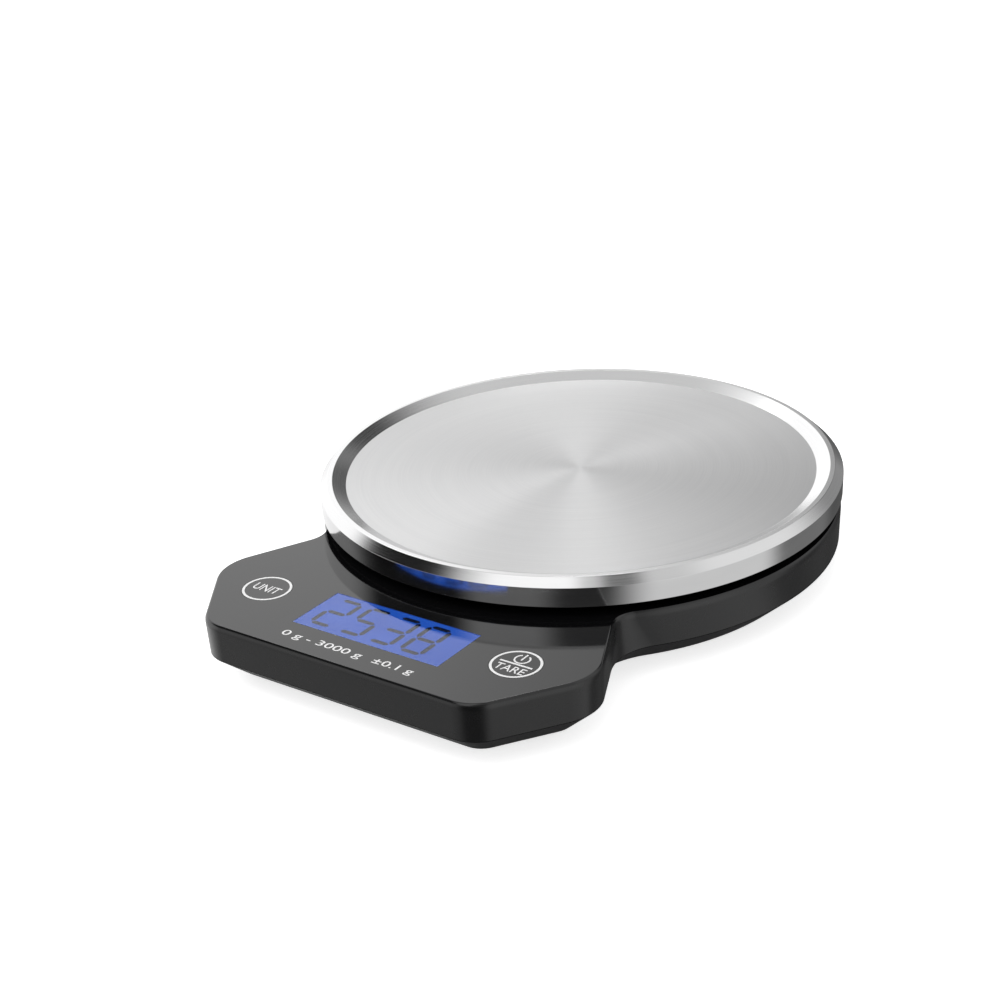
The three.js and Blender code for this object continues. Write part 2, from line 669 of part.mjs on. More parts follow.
// A cell with its nub towards +X for side 1 or towards -X for side -1
function batteryCell(y, side) {
  const tip = CELL_LENGTH;
  const shoulder = CELL_LENGTH - CELL_NUB_LENGTH;
  const cell = turned(
    [
      [0, 0],
      [CELL_RADIUS, 0],
      [CELL_RADIUS, shoulder],
      [CELL_NUB_RADIUS, shoulder],
      [CELL_NUB_RADIUS, tip],
      [0, tip],
    ],
    ROUND_SIDES,
  );
  cell.rotateY((side * Math.PI) / 2);
  const nubX = side * (bayLength / 2 - CONTACT_THICKNESS);
  return cell.translate(nubX - side * CELL_LENGTH, y, CELL_AXIS_Z);
}

// A tapered spring contact between a cell's flat end and the bay wall on the given side
function springContact(y, side) {
  const spring = turned(
    [
      [0, 0],
      [SPRING_RADIUS, 0],
      [SPRING_TIP_RADIUS, SPRING_LENGTH],
      [0, SPRING_LENGTH],
    ],
    SMALL_SIDES,
  );
  spring.rotateY((-side * Math.PI) / 2);
  return spring.translate(side * (bayLength / 2 - CONTACT_THICKNESS), y, CELL_AXIS_Z);
}

function contactPlate(y, side) {
  const wallX = (side * bayLength) / 2;
  const x = [wallX, wallX - side * CONTACT_THICKNESS].sort((a, b) => a - b);
  return block(x, y, around(CELL_AXIS_Z, CONTACT_HEIGHT));
}

// Weighing plate and its carrier

function weighingPlate() {
  const skirtRadius = PLATE_RADIUS - SKIRT_TAPER;
  const discTop = PLATE_TOP - DISC_DEPTH;
  const bevelBottom = PLATE_TOP - BEVEL_DROP;
  return turned(
    [
      [0, discTop - SHEET],
      [DISC_RADIUS, discTop - SHEET],
      [RIM_INNER_RADIUS, PLATE_TOP - SHEET],
      [RIM_OUTER_RADIUS - SHEET / 2, PLATE_TOP - SHEET],
      [PLATE_RADIUS - SHEET, bevelBottom - SHEET / 2],
      [skirtRadius - SHEET, SKIRT_BOTTOM],
      [skirtRadius, SKIRT_BOTTOM],
      [PLATE_RADIUS, bevelBottom],
      [RIM_OUTER_RADIUS, PLATE_TOP],
      [RIM_INNER_RADIUS, PLATE_TOP],
      [DISC_RADIUS, discTop],
      [0, discTop],
    ],
    PLATE_SIDES,
  );
}

function platformCarrier() {
  const radius = PLATE_RADIUS - SKIRT_TAPER - SHEET - CARRIER_CLEARANCE;
  const plateBottom = CARRIER_TOP - CARRIER_PLATE;
  const dish = turned(
    [
      [0, plateBottom],
      [radius - CARRIER_RIM, plateBottom],
      [radius - CARRIER_RIM, CARRIER_BOTTOM],
      [radius, CARRIER_BOTTOM],
      [radius, CARRIER_TOP],
      [0, CARRIER_TOP],
    ],
    PLATE_SIDES,
  );
  const ribs = Array.from({ length: CARRIER_RIB_COUNT }, (_, i) => {
    const angle = (2 * Math.PI * i) / CARRIER_RIB_COUNT;
    const rib = block(
      [0, radius - CARRIER_RIM / 2],
      around(0, CARRIER_RIB),
      [CARRIER_BOTTOM, plateBottom + CARRIER_PLATE / 2],
    );
    return rib.rotateZ(angle);
  });
  const hub = rod(CARRIER_BOSS_RADIUS, [CARRIER_BOTTOM, CARRIER_TOP - CARRIER_PLATE / 2]);
  const boss = rod(CARRIER_BOSS_RADIUS, [BEAM_TOP, CARRIER_TOP - CARRIER_PLATE / 2], bossPlace);
  const pockets = freeBoltPlaces.flatMap((at) => [
    rod(CARRIER_BOLT.head + FIT, [BEAM_TOP + CARRIER_BOLT_GRIP, CARRIER_TOP + OVERRUN], at),
    rod(CARRIER_BOLT.shank + FIT, [BEAM_TOP - OVERRUN, CARRIER_TOP], at, SMALL_SIDES),
  ]);
  return cut(join(dish, hub, boss, ...ribs), ...pockets);
}

// Load cell

function loadCell() {
  const beam = block(
    around(0, CELL_BEAM_LENGTH),
    around(0, CELL_BEAM_WIDTH),
    [BEAM_BOTTOM, BEAM_TOP],
  );
  const middle = (BEAM_BOTTOM + BEAM_TOP) / 2;
  const bores = [-BEAM_WINDOW_X, BEAM_WINDOW_X].map((x) =>
    rod(BEAM_WINDOW_RADIUS, around(0, CELL_BEAM_WIDTH + 2 * OVERRUN))
      .rotateX(Math.PI / 2)
      .translate(x, 0, middle),
  );
  const slot = block(
    around(0, 2 * BEAM_WINDOW_X),
    around(0, CELL_BEAM_WIDTH + 2 * OVERRUN),
    around(middle, BEAM_WINDOW_SLOT),
  );
  const boltHoles = [...fixedBoltPlaces, ...freeBoltPlaces].map((at) =>
    rod(BEAM_BOLT.shank + SNUG, [BEAM_BOTTOM - OVERRUN, BEAM_TOP + OVERRUN], at, SMALL_SIDES),
  );
  return cut(toSolid(beam), ...bores, slot, ...boltHoles);
}

// Keys, switches and display

function keyCap(at) {
  const flangeBottom = CEILING - KEY_FLANGE_THICKNESS;
  return turned(
    [
      [0, BOARD_TOP + SWITCH_HEIGHT + PLUNGER_PROUD],
      [KEY_STEM_RADIUS, BOARD_TOP + SWITCH_HEIGHT + PLUNGER_PROUD],
      [KEY_STEM_RADIUS, flangeBottom],
      [KEY_RADIUS + KEY_FLANGE, flangeBottom],
      [KEY_RADIUS + KEY_FLANGE, CEILING],
      [KEY_RADIUS, CEILING],
      [KEY_RADIUS, BASE_TOP],
      [0, BASE_TOP],
    ],
    ROUND_SIDES,
    at,
  );
}

function tactSwitch(at) {
  const top = BOARD_TOP + SWITCH_HEIGHT;
  const body = block(
    around(at[0], SWITCH_SIZE),
    around(at[1], SWITCH_SIZE),
    [BOARD_TOP, top],
  );
  const well = [top - PLUNGER_DEPTH - 2 * KEY_TRAVEL, top + OVERRUN];
  return cut(toSolid(body), rod(PLUNGER_RADIUS + FIT, well, at, SMALL_SIDES));
}

function switchPlunger(at) {
  const top = BOARD_TOP + SWITCH_HEIGHT;
  return rod(PLUNGER_RADIUS, [top - PLUNGER_DEPTH, top + PLUNGER_PROUD], at, SMALL_SIDES);
}

const glassLength = WINDOW_LENGTH + 2 * GLASS_MARGIN;
const glassWidth = WINDOW_WIDTH + 2 * GLASS_MARGIN;

function displayPlate(z) {
  return block(around(DISPLAY_X, glassLength), around(DISPLAY_Y, glassWidth), z);
}

function displayFrame() {
  const outer = block(
    around(DISPLAY_X, 2 * FRAME_HALF_LENGTH),
    around(DISPLAY_Y, glassWidth + 2 * FIT + 2 * FRAME_WALL),
    [BOARD_TOP, GLASS_TOP - FIT],
  );
  const pocket = block(
    around(DISPLAY_X, glassLength + 2 * FIT),
    around(DISPLAY_Y, glassWidth + 2 * FIT),
    [FRAME_FLOOR_TOP, GLASS_TOP + OVERRUN],
  );
  const port = block(
    around(DISPLAY_X, FRAME_PORT_LENGTH),
    around(DISPLAY_Y, FRAME_PORT_WIDTH),
    [BOARD_TOP - OVERRUN, GLASS_TOP],
  );
  return cut(toSolid(outer), pocket, port);
}

function windowLens() {
  return block(
    around(DISPLAY_X, WINDOW_LENGTH - 2 * KEY_SEAM),
    around(DISPLAY_Y, WINDOW_WIDTH - 2 * KEY_SEAM),
    [CEILING, BASE_TOP],
  );
}

function circuitBoard() {
  const back = FRONT_Y + BOARD_BACK_SETBACK;
  const front = FRONT_Y + BOARD_FRONT_SETBACK;
  const outline = new THREE.Shape([
    new THREE.Vector2(-BOARD_HALF_LENGTH, back),
    new THREE.Vector2(-BOARD_HALF_LENGTH, front + BOARD_CORNER),
    new THREE.Vector2(-BOARD_HALF_LENGTH + BOARD_CORNER, front),
    new THREE.Vector2(BOARD_HALF_LENGTH - BOARD_CORNER, front),
    new THREE.Vector2(BOARD_HALF_LENGTH, front + BOARD_CORNER),
    new THREE.Vector2(BOARD_HALF_LENGTH, back),
  ]);
  const sheet = new THREE.ExtrudeGeometry(outline, { depth: BOARD_THICKNESS, bevelEnabled: false });
  const holes = boardPostPlaces.map((at) =>
    rod(BOARD_SCREW.shank + FIT, [BOARD_BOTTOM - OVERRUN, BOARD_TOP + OVERRUN], at, SMALL_SIDES),
  );
  return cut(toSolid(sheet.translate(0, 0, BOARD_BOTTOM)), ...holes);
}

const socketY = [
  FRONT_Y + BOARD_BACK_SETBACK - SOCKET_WIDTH,
  FRONT_Y + BOARD_BACK_SETBACK,
];

function wireSocket(x) {
  return block(around(x, SOCKET_LENGTH), socketY, [BOARD_BOTTOM - SOCKET_HEIGHT, BOARD_BOTTOM]);
}

// Wiring, each a tube along a smooth curve through a few points

function wire(points, radius) {
  const curve = new THREE.CatmullRomCurve3(points.map((point) => new THREE.Vector3(...point)));
  const section = new THREE.Shape(
    arc(new THREE.Vector2(), radius, 0, 2 * Math.PI, WIRE_SIDES).slice(1),
  );
  return new THREE.ExtrudeGeometry(section, { steps: WIRE_STEPS, extrudePath: curve });
}

function batteryWire(y, side) {
  const startX = bayLength / 2 + BAY_WALL + WIRE_LIFT;
  const laneX = startX + 4 * WIRE_RADIUS + side * 2 * WIRE_RADIUS;
  const layZ = FLOOR_TOP + WIRE_RADIUS + WIRE_SAG_ROOM;
  const plugY = socketY[1] + WIRE_LIFT;
  const plugZ = BOARD_BOTTOM - SOCKET_HEIGHT / 2;
  const plugX = SOCKET_X + side * 2 * WIRE_RADIUS;
  return wire(
    [
      [startX, y, CELL_AXIS_Z],
      [laneX, y - BAY_WALL - CELL_RADIUS / 2, CELL_AXIS_Z - CELL_RADIUS / 2],
      [laneX, y - 2 * BAY_WALL - CELL_RADIUS * 2, layZ],
      [laneX, 0, layZ],
      [laneX, -SCREW_CIRCLE / 2, layZ],
      [plugX, plugY + SCREW_CIRCLE / 4, layZ],
      [plugX, plugY + CELL_RADIUS / 2, plugZ - WIRE_RADIUS],
      [plugX, plugY, plugZ],
    ],
    WIRE_RADIUS,
  );
}

function loadCellCable() {
  const sideY = -CELL_BEAM_WIDTH / 2 - GAUGE_THICKNESS - WIRE_LIFT;
  const layZ = FLOOR_TOP + CABLE_RADIUS + WIRE_SAG_ROOM;
  const plugY = socketY[1] + WIRE_LIFT;
  const plugZ = BOARD_BOTTOM - SOCKET_HEIGHT / 2;
  return wire(
    [
      [0, sideY, (BEAM_BOTTOM + BEAM_TOP) / 2],
      [-BEAM_WINDOW_X / 2, sideY - CELL_BEAM_WIDTH / 2, BEAM_BOTTOM + CABLE_RADIUS],
      [-SOCKET_X, sideY - 2 * CELL_BEAM_WIDTH, layZ],
      [-SOCKET_X, plugY + SCREW_CIRCLE / 4, layZ],
      [-SOCKET_X, plugY + CELL_RADIUS / 2, plugZ - CABLE_RADIUS / 2],
      [-SOCKET_X, plugY, plugZ],
    ],
    CABLE_RADIUS,
  );
}

function foot(at) {
  return turned(
    [
      [0, 0],
      [FOOT_RADIUS - FOOT_DOME, 0],
      [FOOT_RADIUS, FOOT_DOME],
      [FOOT_RADIUS, BASE_BOTTOM + FOOT_SEAT],
      [0, BASE_BOTTOM + FOOT_SEAT],
    ],
    ROUND_SIDES,
    at,
  );
}

// The assembly

const scale = new THREE.Group();
scale.position.y = CENTRING_SHIFT;

function addPiece(name, shape, material) {
  const geometry = shape.isBufferGeometry ? toGeometry(toSolid(shape)) : toGeometry(shape);
  const mesh = new THREE.Mesh(geometry, material);
  mesh.name = name;
  scale.add(mesh);
}

function addEach(name, places, make, material) {
  places.forEach((place, i) => addPiece(`${name}_${i + 1}`, make(place), material));
}

addPiece('upper_shell', upperShell(), MATERIALS.glossBlack);
addPiece('lower_shell', lowerShell(), MATERIALS.mattBlack);
addPiece('display_window', windowLens(), MATERIALS.clear);
addPiece('display_glass', displayPlate([BACKLIGHT_TOP, GLASS_TOP]), MATERIALS.displayGlass);
addPiece('display_backlight', displayPlate([FRAME_FLOOR_TOP, BACKLIGHT_TOP]), MATERIALS.backlight);
addPiece('display_frame', displayFrame(), MATERIALS.mattBlack);
addPiece('circuit_board', circuitBoard(), MATERIALS.board);
addPiece(
  'controller_chip',
  block(
    around(CHIP_X, CHIP_SIZE),
    around(DISPLAY_Y, CHIP_SIZE),
    [BOARD_BOTTOM - CHIP_HEIGHT, BOARD_BOTTOM],
  ),
  MATERIALS.mattBlack,
);
addPiece('battery_socket', wireSocket(SOCKET_X), MATERIALS.ivory);
addPiece('load_cell_socket', wireSocket(-SOCKET_X), MATERIALS.ivory);
addPiece('load_cell', loadCell(), MATERIALS.aluminium);
addPiece(
  'strain_gauge_cover',
  block(
    around(0, gaugeLength),
    around(0, CELL_BEAM_WIDTH),
    [BEAM_TOP, BEAM_TOP + GAUGE_THICKNESS],
  ),
  MATERIALS.silicone,
);
addPiece('load_cell_cable', loadCellCable(), MATERIALS.greyCable);
addPiece('battery_wire_red', batteryWire(cellRows[0], 1), MATERIALS.redWire);
addPiece('battery_wire_black', batteryWire(cellRows[1], -1), MATERIALS.blackWire);
addPiece('battery_cell_1', batteryCell(cellRows[0], 1), MATERIALS.cellWrap);
addPiece('battery_cell_2', batteryCell(cellRows[1], -1), MATERIALS.cellWrap);
addPiece('spring_contact_1', springContact(cellRows[0], -1), MATERIALS.zinc);
addPiece('spring_contact_2', springContact(cellRows[1], 1), MATERIALS.zinc);
addPiece(
  'bridge_contact',
  contactPlate([cellRows[0] - CONTACT_WIDTH / 2, cellRows[1] + CONTACT_WIDTH / 2], -1),
  MATERIALS.zinc,
);
addPiece('plus_contact', contactPlate(around(cellRows[0], CONTACT_WIDTH), 1), MATERIALS.zinc);
addPiece('minus_contact', contactPlate(around(cellRows[1], CONTACT_WIDTH), 1), MATERIALS.zinc);
addPiece('battery_door', batteryDoor(), MATERIALS.mattBlack);
addPiece('platform_carrier', platformCarrier(), MATERIALS.mattBlack);
addPiece('weighing_plate', weighingPlate(), MATERIALS.steel);

for (const [name, at] of Object.entries(keyPlaces)) {
  addPiece(`${name}_key`, keyCap(at), MATERIALS.glossBlack);
  addPiece(`${name}_switch`, tactSwitch(at), MATERIALS.mattBlack);
  addPiece(`${name}_switch_plunger`, switchPlunger(at), MATERIALS.ivory);
}

const screwSeat = SCREW_CUP_TOP - SCREW_GRIP;
const boltSeat = BASE_BOTTOM + BEAM_BOLT.headHeight + FIT;
const carrierSeat = BEAM_TOP + CARRIER_BOLT_GRIP;
const padPlaces = Array.from({ length: PAD_COUNT }, (_, i) => onCircle(PAD_CIRCLE, PAD_COUNT, i));
addEach('housing_screw', screwPlaces, (at) => screw(HOUSING_SCREW, screwSeat, at), MATERIALS.zinc);
addEach('board_screw', boardPostPlaces, (at) => screw(BOARD_SCREW, BOARD_BOTTOM, at), MATERIALS.zinc);
addEach('load_cell_bolt', fixedBoltPlaces, (at) => screw(BEAM_BOLT, boltSeat, at), MATERIALS.zinc);
addEach(
  'carrier_bolt',
  freeBoltPlaces,
  (at) => screwDown(CARRIER_BOLT, carrierSeat, at),
  MATERIALS.zinc,
);
addEach(
  'grip_pad',
  padPlaces,
  (at) => rod(PAD_RADIUS, [CARRIER_TOP, PLATE_UNDERSIDE], at),
  MATERIALS.silicone,
);
addEach('foot', footPlaces, foot, MATERIALS.rubber);

export default scale;
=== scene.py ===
"""Looks of a digital kitchen scale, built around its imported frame.

Metres, +Z up, front towards -Y. Sizes are written in millimetres times MM.
"""

import json
import math

import bmesh
import bpy
from mathutils import Matrix, Vector


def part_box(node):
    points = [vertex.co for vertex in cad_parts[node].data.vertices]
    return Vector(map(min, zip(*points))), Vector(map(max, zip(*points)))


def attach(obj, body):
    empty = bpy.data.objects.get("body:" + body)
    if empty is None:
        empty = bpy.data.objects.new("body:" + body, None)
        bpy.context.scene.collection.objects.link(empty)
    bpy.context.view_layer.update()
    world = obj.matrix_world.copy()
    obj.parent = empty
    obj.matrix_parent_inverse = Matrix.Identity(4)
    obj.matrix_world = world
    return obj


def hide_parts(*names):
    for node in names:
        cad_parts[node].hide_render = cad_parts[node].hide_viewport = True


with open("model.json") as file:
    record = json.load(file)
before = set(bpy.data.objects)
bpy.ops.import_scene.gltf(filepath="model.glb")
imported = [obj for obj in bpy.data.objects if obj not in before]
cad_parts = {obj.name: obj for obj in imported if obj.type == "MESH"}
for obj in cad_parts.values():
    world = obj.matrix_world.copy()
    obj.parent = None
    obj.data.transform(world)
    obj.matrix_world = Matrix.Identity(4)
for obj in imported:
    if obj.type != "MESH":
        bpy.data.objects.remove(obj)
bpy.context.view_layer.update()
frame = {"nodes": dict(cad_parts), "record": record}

MM = 0.001
TURN = 2 * math.pi

# Places taken from the frame
PLATE_LOW, PLATE_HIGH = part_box("weighing_plate")
PLATE_CENTRE = (PLATE_LOW + PLATE_HIGH) / 2
PLATE_RADIUS = (PLATE_HIGH.x - PLATE_LOW.x) / 2
PLATE_TOP = PLATE_HIGH.z
SKIRT_BOTTOM = PLATE_LOW.z
WINDOW_LOW, WINDOW_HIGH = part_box("display_window")
BASE_TOP = WINDOW_HIGH.z
CEILING = WINDOW_LOW.z
STOP_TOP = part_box("upper_shell")[1].z
FRONT_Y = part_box("upper_shell")[0].y
BASE_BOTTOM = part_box("lower_shell")[0].z
KEYS = {
    name: (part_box(f"{name}_key")[0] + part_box(f"{name}_key")[1]) / 2 for name in ("unit", "tare")
}

# Weighing plate
SHEET = 0.8 * MM
BEVEL_WIDTH = 2.5 * MM
BEVEL_DROP = 2.33 * MM
RIM_WIDTH = 1.5 * MM
INNER_SLOPE_WIDTH = 4.1 * MM
DISC_DEPTH = 1.96 * MM
SKIRT_TAPER = 0.2 * MM
DISC_FILLET = 0.5 * MM
RIM_FILLET = 0.3 * MM
BEVEL_FILLET = 0.12 * MM
HEM_FILLET = 0.2 * MM

# Base outline in plan
DRUM_SETBACK = 0.65 * MM
DRUM_RADIUS = PLATE_RADIUS - DRUM_SETBACK
FRONT_HALF_WIDTH = 46.5 * MM
WIDEST_HALF_WIDTH = 66.9 * MM
WIDEST_SETBACK = 29.9 * MM
WAIST_HALF_WIDTH = 51.7 * MM
FRONT_CORNER_RADIUS = 12 * MM
SOLE_CORNER_RADIUS = 16 * MM
SIDE_CORNER_RADIUS = 15.3 * MM
WAIST_FILLET = 8 * MM
LOW_WAIST_FILLET = 16 * MM

# Base profile
SOLE_HEIGHT = 7.4 * MM
PARTING = BASE_BOTTOM + SOLE_HEIGHT
WALL = 2 * MM
WALL_DRAFT = 0.45 * MM
TOP_FILLET = 0.95 * MM
TOP_ROUND_HEIGHT = 2.1 * MM
DRUM_ROUND_HEIGHT = 2.2 * MM
DRUM_ROUND_LEAN = math.radians(31)
SEAM_FILLET = 0.2 * MM
SOLE_UNDERCUT = 8.5 * MM
SOLE_SKIN = 1.1 * MM
KEY_RADIUS = 7.3 * MM
KEY_SEAM = 0.2 * MM
KEY_CAP_SEAM = 0.06 * MM
KEY_STEM_RADIUS = 2 * MM
KEY_FLANGE_THICKNESS = 1.1 * MM
BOSS_HOLE_RADIUS = 9.6 * MM
STOP_CIRCLE = 60 * MM
STOP_RADIUS = 3 * MM
STOP_COUNT = 4
OVERRUN = 1 * MM

# Display
PANE_THICKNESS = 0.3 * MM
PANE_SEAM = 0.05 * MM
DIGITS = "2538"
DIGIT_HEIGHT = 14.3 * MM
DIGIT_WIDTH = 6.7 * MM
DIGIT_PITCH = 10.5 * MM
DIGIT_STROKE = 1.5 * MM
DIGIT_GAP = 0.3 * MM
DIGITS_SHIFT = Vector((-2.1, 0.35)) * MM

# Printed marks
PRINT_HEIGHT = 0.02 * MM
RING_RADIUS = 6.85 * MM
RING_STROKE = 0.72 * MM
UNIT_WORD_WIDTH = 8.9 * MM
UNIT_WORD_HEIGHT = 3.6 * MM
TARE_WORD_WIDTH = 9.4 * MM
TARE_WORD_HEIGHT = 3.1 * MM
TARE_WORD_DROP = 2.75 * MM
TARE_BAR_LENGTH = 10.4 * MM
TARE_BAR_STROKE = 0.65 * MM
POWER_RADIUS = 2.15 * MM
POWER_RISE = 2.95 * MM
POWER_STROKE = 0.5 * MM
POWER_GAP_ANGLE = math.radians(32)
POWER_STEM_TOP_SHARE = 1.25
POWER_STEM_LOW_SHARE = 0.3
LETTER_WEIGHT = 0.004
RATING_HEIGHT = 3.6 * MM
RATING_DROP = 6.3 * MM
RANGE_X = -9.8 * MM
RANGE_WIDTH = 27.9 * MM
STEP_X = 14.95 * MM
STEP_WIDTH = 13.4 * MM

# Steps along curves
PLATE_SIDES = 256
DRUM_STEPS = 90
CORNER_STEPS = 20
FILLET_STEPS = 8
CIRCLE_SIDES = 96
LEAST_BAND_STEPS = 8
LETTER_STEPS = 6
SMOOTH_ANGLE = math.radians(32)
LEVEL_NORMAL = 0.999
EDGE_ROUND = 0.2 * MM
EDGE_SHARE = 0.12
MERGE_ANGLE = math.radians(0.5)
MERGE_DISTANCE = 0.002 * MM


# Meshes

def new_piece(name, mesh_data, body, slot, *replaced):
    """Puts a finished mesh on a body in place of some CAD nodes."""
    piece = bpy.data.objects.new(name, mesh_data)
    bpy.context.scene.collection.objects.link(piece)
    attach(piece, body)
    if replaced:
        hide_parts(*replaced)
    return piece


def mesh_from(vertices, faces, name="shape"):
    mesh = bpy.data.meshes.new(name)
    mesh.from_pydata([tuple(v) for v in vertices], [], faces)
    mesh.update()
    return mesh


def smoothed(mesh):
    """Smooth faces with sharp edges kept, and normals that follow the larger faces."""
    softly_shaded(mesh)
    carrier = bpy.data.objects.new("smoothing", mesh)
    bpy.context.scene.collection.objects.link(carrier)
    weighted = carrier.modifiers.new("weights", "WEIGHTED_NORMAL")
    weighted.keep_sharp = True
    return applied(carrier)


def softly_shaded(mesh):
    mesh.shade_smooth()
    mesh.set_sharp_from_angle(angle=SMOOTH_ANGLE)
    return mesh


def applied(carrier):
    """The mesh of a scratch object with its modifiers applied; the object goes away."""
    graph = bpy.context.evaluated_depsgraph_get()
    result = bpy.data.meshes.new_from_object(carrier.evaluated_get(graph))
    bpy.data.objects.remove(carrier)
    return result


def boolean(mesh, operation, *tools):
    """Joins or cuts a mesh with others."""
    for tool in tools:
        carrier = bpy.data.objects.new("worked", mesh)
        other = bpy.data.objects.new("tool", tool)
        bpy.context.scene.collection.objects.link(carrier)
        bpy.context.scene.collection.objects.link(other)
        step = carrier.modifiers.new("step", "BOOLEAN")
        step.operation = operation
        step.solver = "EXACT"
        step.object = other
        mesh = applied(carrier)
        bpy.data.objects.remove(other)
    return mesh


def block(x, y, z):
    """A box between the pairs x, y and z."""
    corners = [(a, b, c) for c in z for b in y for a in x]
    faces = [(0, 2, 3, 1), (4, 5, 7, 6), (0, 1, 5, 4), (2, 6, 7, 3), (0, 4, 6, 2), (1, 3, 7, 5)]
    return mesh_from(corners, faces)


def lathe(profile, centre, sides=CIRCLE_SIDES):
    """Turns a closed profile of (radius, height) pairs about an upright axis."""
    vertices, rows = [], []
    for radius, height in profile:
        start = len(vertices)
        count = sides if radius > 0 else 1
        for i in range(count):
            angle = TURN * i / sides
            x = centre[0] + radius * math.cos(angle)
            y = centre[1] + radius * math.sin(angle)
            vertices.append((x, y, height))
        rows.append([start + i % count for i in range(sides)])
    faces = []
    for upper, lower in zip(rows, rows[1:] + rows[:1]):
        if len(set(upper)) == 1 and len(set(lower)) == 1:
            continue
        for i in range(sides):
            j = (i + 1) % sides
            corners = [upper[i], lower[i], lower[j], upper[j]]
            faces.append(list(dict.fromkeys(corners)))
    mesh = mesh_from(vertices, faces, "lathe")
    made = bmesh.new()
    made.from_mesh(mesh)
    bmesh.ops.recalc_face_normals(made, faces=made.faces)
    made.to_mesh(mesh)
    made.free()
    return mesh


def rod(radius, z, centre):
    return lathe([(0, z[0]), (radius, z[0]), (radius, z[1]), (0, z[1])], centre)


def rounded(points, radii):
    """A line through 2D points whose inner corners are rounded by the radii given for them."""
    result = [Vector(points[0])]
    for before, corner, after, radius in zip(points, points[1:], points[2:], radii):
        a, p, b = Vector(before), Vector(corner), Vector(after)
        if not radius:
            result.append(p)
            continue
        u, v = (a - p).normalized(), (b - p).normalized()
        half = u.angle(v) / 2
        centre = p + (u + v).normalized() * (radius / math.sin(half))
        start = p + u * (radius / math.tan(half)) - centre
        end = p + v * (radius / math.tan(half)) - centre
        sweep = start.angle_signed(end)
        for i in range(FILLET_STEPS + 1):
            turned = start.copy()
            turned.rotate(Matrix.Rotation(-sweep * i / FILLET_STEPS, 2))
            result.append(centre + turned)
    result.append(Vector(points[-1]))
    return result


def lofted(rings):
    """A closed solid through level rings of equal count, its first and last ring capped."""
    count = len(rings[0])
    vertices = [point for ring in rings for point in ring]
    faces = [list(range(count))]
    for level in range(len(rings) - 1):
        for i in range(count):
            j = (i + 1) % count
            a, b = level * count + i, level * count + j
            faces.append([b, a, a + count, b + count])
    last = (len(rings) - 1) * count
    faces.append([last + i for i in reversed(range(count))])
    return mesh_from(vertices, faces, "loft")


# Plan of the base

def edge_between(start, end):
    """Angle and direction of a line's outward normal, and the line's distance from the axis."""
    angle = math.atan2(start.x - end.x, end.y - start.y)
    normal = Vector((math.cos(angle), math.sin(angle)))
    return angle, normal, normal.dot(end)


def corner_centre(first, second, radius):
    """Centre of a round that touches two edges from inside."""
    (_, n, n_distance), (_, m, m_distance) = first, second
    a, b = n_distance - radius, m_distance - radius
    cross = n.cross(m)
    return Vector(((a * m.y - b * n.y) / cross, (b * n.x - a * m.x) / cross))


def arc(centre, radius, start, end, steps):
    angles = [start + (end - start) * i / steps for i in range(steps + 1)]
    return [centre + radius * Vector((math.cos(a), math.sin(a))) for a in angles]


FRONT_OFFSET = FRONT_Y - PLATE_CENTRE.y
FRONT_CORNER = Vector((FRONT_HALF_WIDTH, FRONT_OFFSET))
SIDE_CORNER = Vector((WIDEST_HALF_WIDTH, FRONT_OFFSET + WIDEST_SETBACK))
WAIST_CORNER = Vector((WAIST_HALF_WIDTH, -math.sqrt(DRUM_RADIUS**2 - WAIST_HALF_WIDTH**2)))
FRONT_EDGE = edge_between(Vector((0, FRONT_OFFSET)), FRONT_CORNER)
SLANT_EDGE = edge_between(FRONT_CORNER, SIDE_CORNER)
WAIST_EDGE = edge_between(SIDE_CORNER, WAIST_CORNER)
SIDE_CENTRE = corner_centre(SLANT_EDGE, WAIST_EDGE, SIDE_CORNER_RADIUS)


def waist_round(radius):
    """Centre of the inward round between panel and drum, and the angle where it meets the drum."""
    normal = WAIST_EDGE[1]
    out = WAIST_EDGE[2] + radius
    along = math.sqrt((DRUM_RADIUS + radius) ** 2 - out**2)
    centre = normal * out + Vector((normal.y, -normal.x)) * along
    return centre, math.atan2(centre.y, centre.x)


def base_ring(
    inset, height, drum=None, waist_radius=WAIST_FILLET, front_radius=FRONT_CORNER_RADIUS
):
    """The base's outline moved inwards by an inset, as a ring at one height.

    The drum can have an inset and a height of its own, which the waist blends into.
    """
    drum_inset, drum_height = drum or (inset, height)
    front, slant, waist = FRONT_EDGE[0], SLANT_EDGE[0], WAIST_EDGE[0]
    waist_centre, waist_end = waist_round(waist_radius)
    front_centre = corner_centre(FRONT_EDGE, SLANT_EDGE, front_radius)
    panel = [
        *arc(front_centre, front_radius - inset, front, slant, CORNER_STEPS),
        *arc(SIDE_CENTRE, SIDE_CORNER_RADIUS - inset, slant, waist, CORNER_STEPS),
    ]
    right = [(point, height) for point in panel]
    for i in range(CORNER_STEPS + 1):
        share = i / CORNER_STEPS
        angle = waist + (waist_end - waist) * share + math.pi
        reach = waist_radius + inset + (drum_inset - inset) * share
        point = waist_centre + reach * Vector((math.cos(angle), math.sin(angle)))
        right.append((point, height + (drum_height - height) * share))
    round_back = arc(Vector((0, 0)), DRUM_RADIUS - drum_inset, waist_end, math.pi / 2, DRUM_STEPS)
    right += [(point, drum_height) for point in round_back[1:]]
    left = [(Vector((-point.x, point.y)), z) for point, z in reversed(right[:-1])]
    return [(p.x, p.y + PLATE_CENTRE.y, z) for p, z in right + left]


# Materials

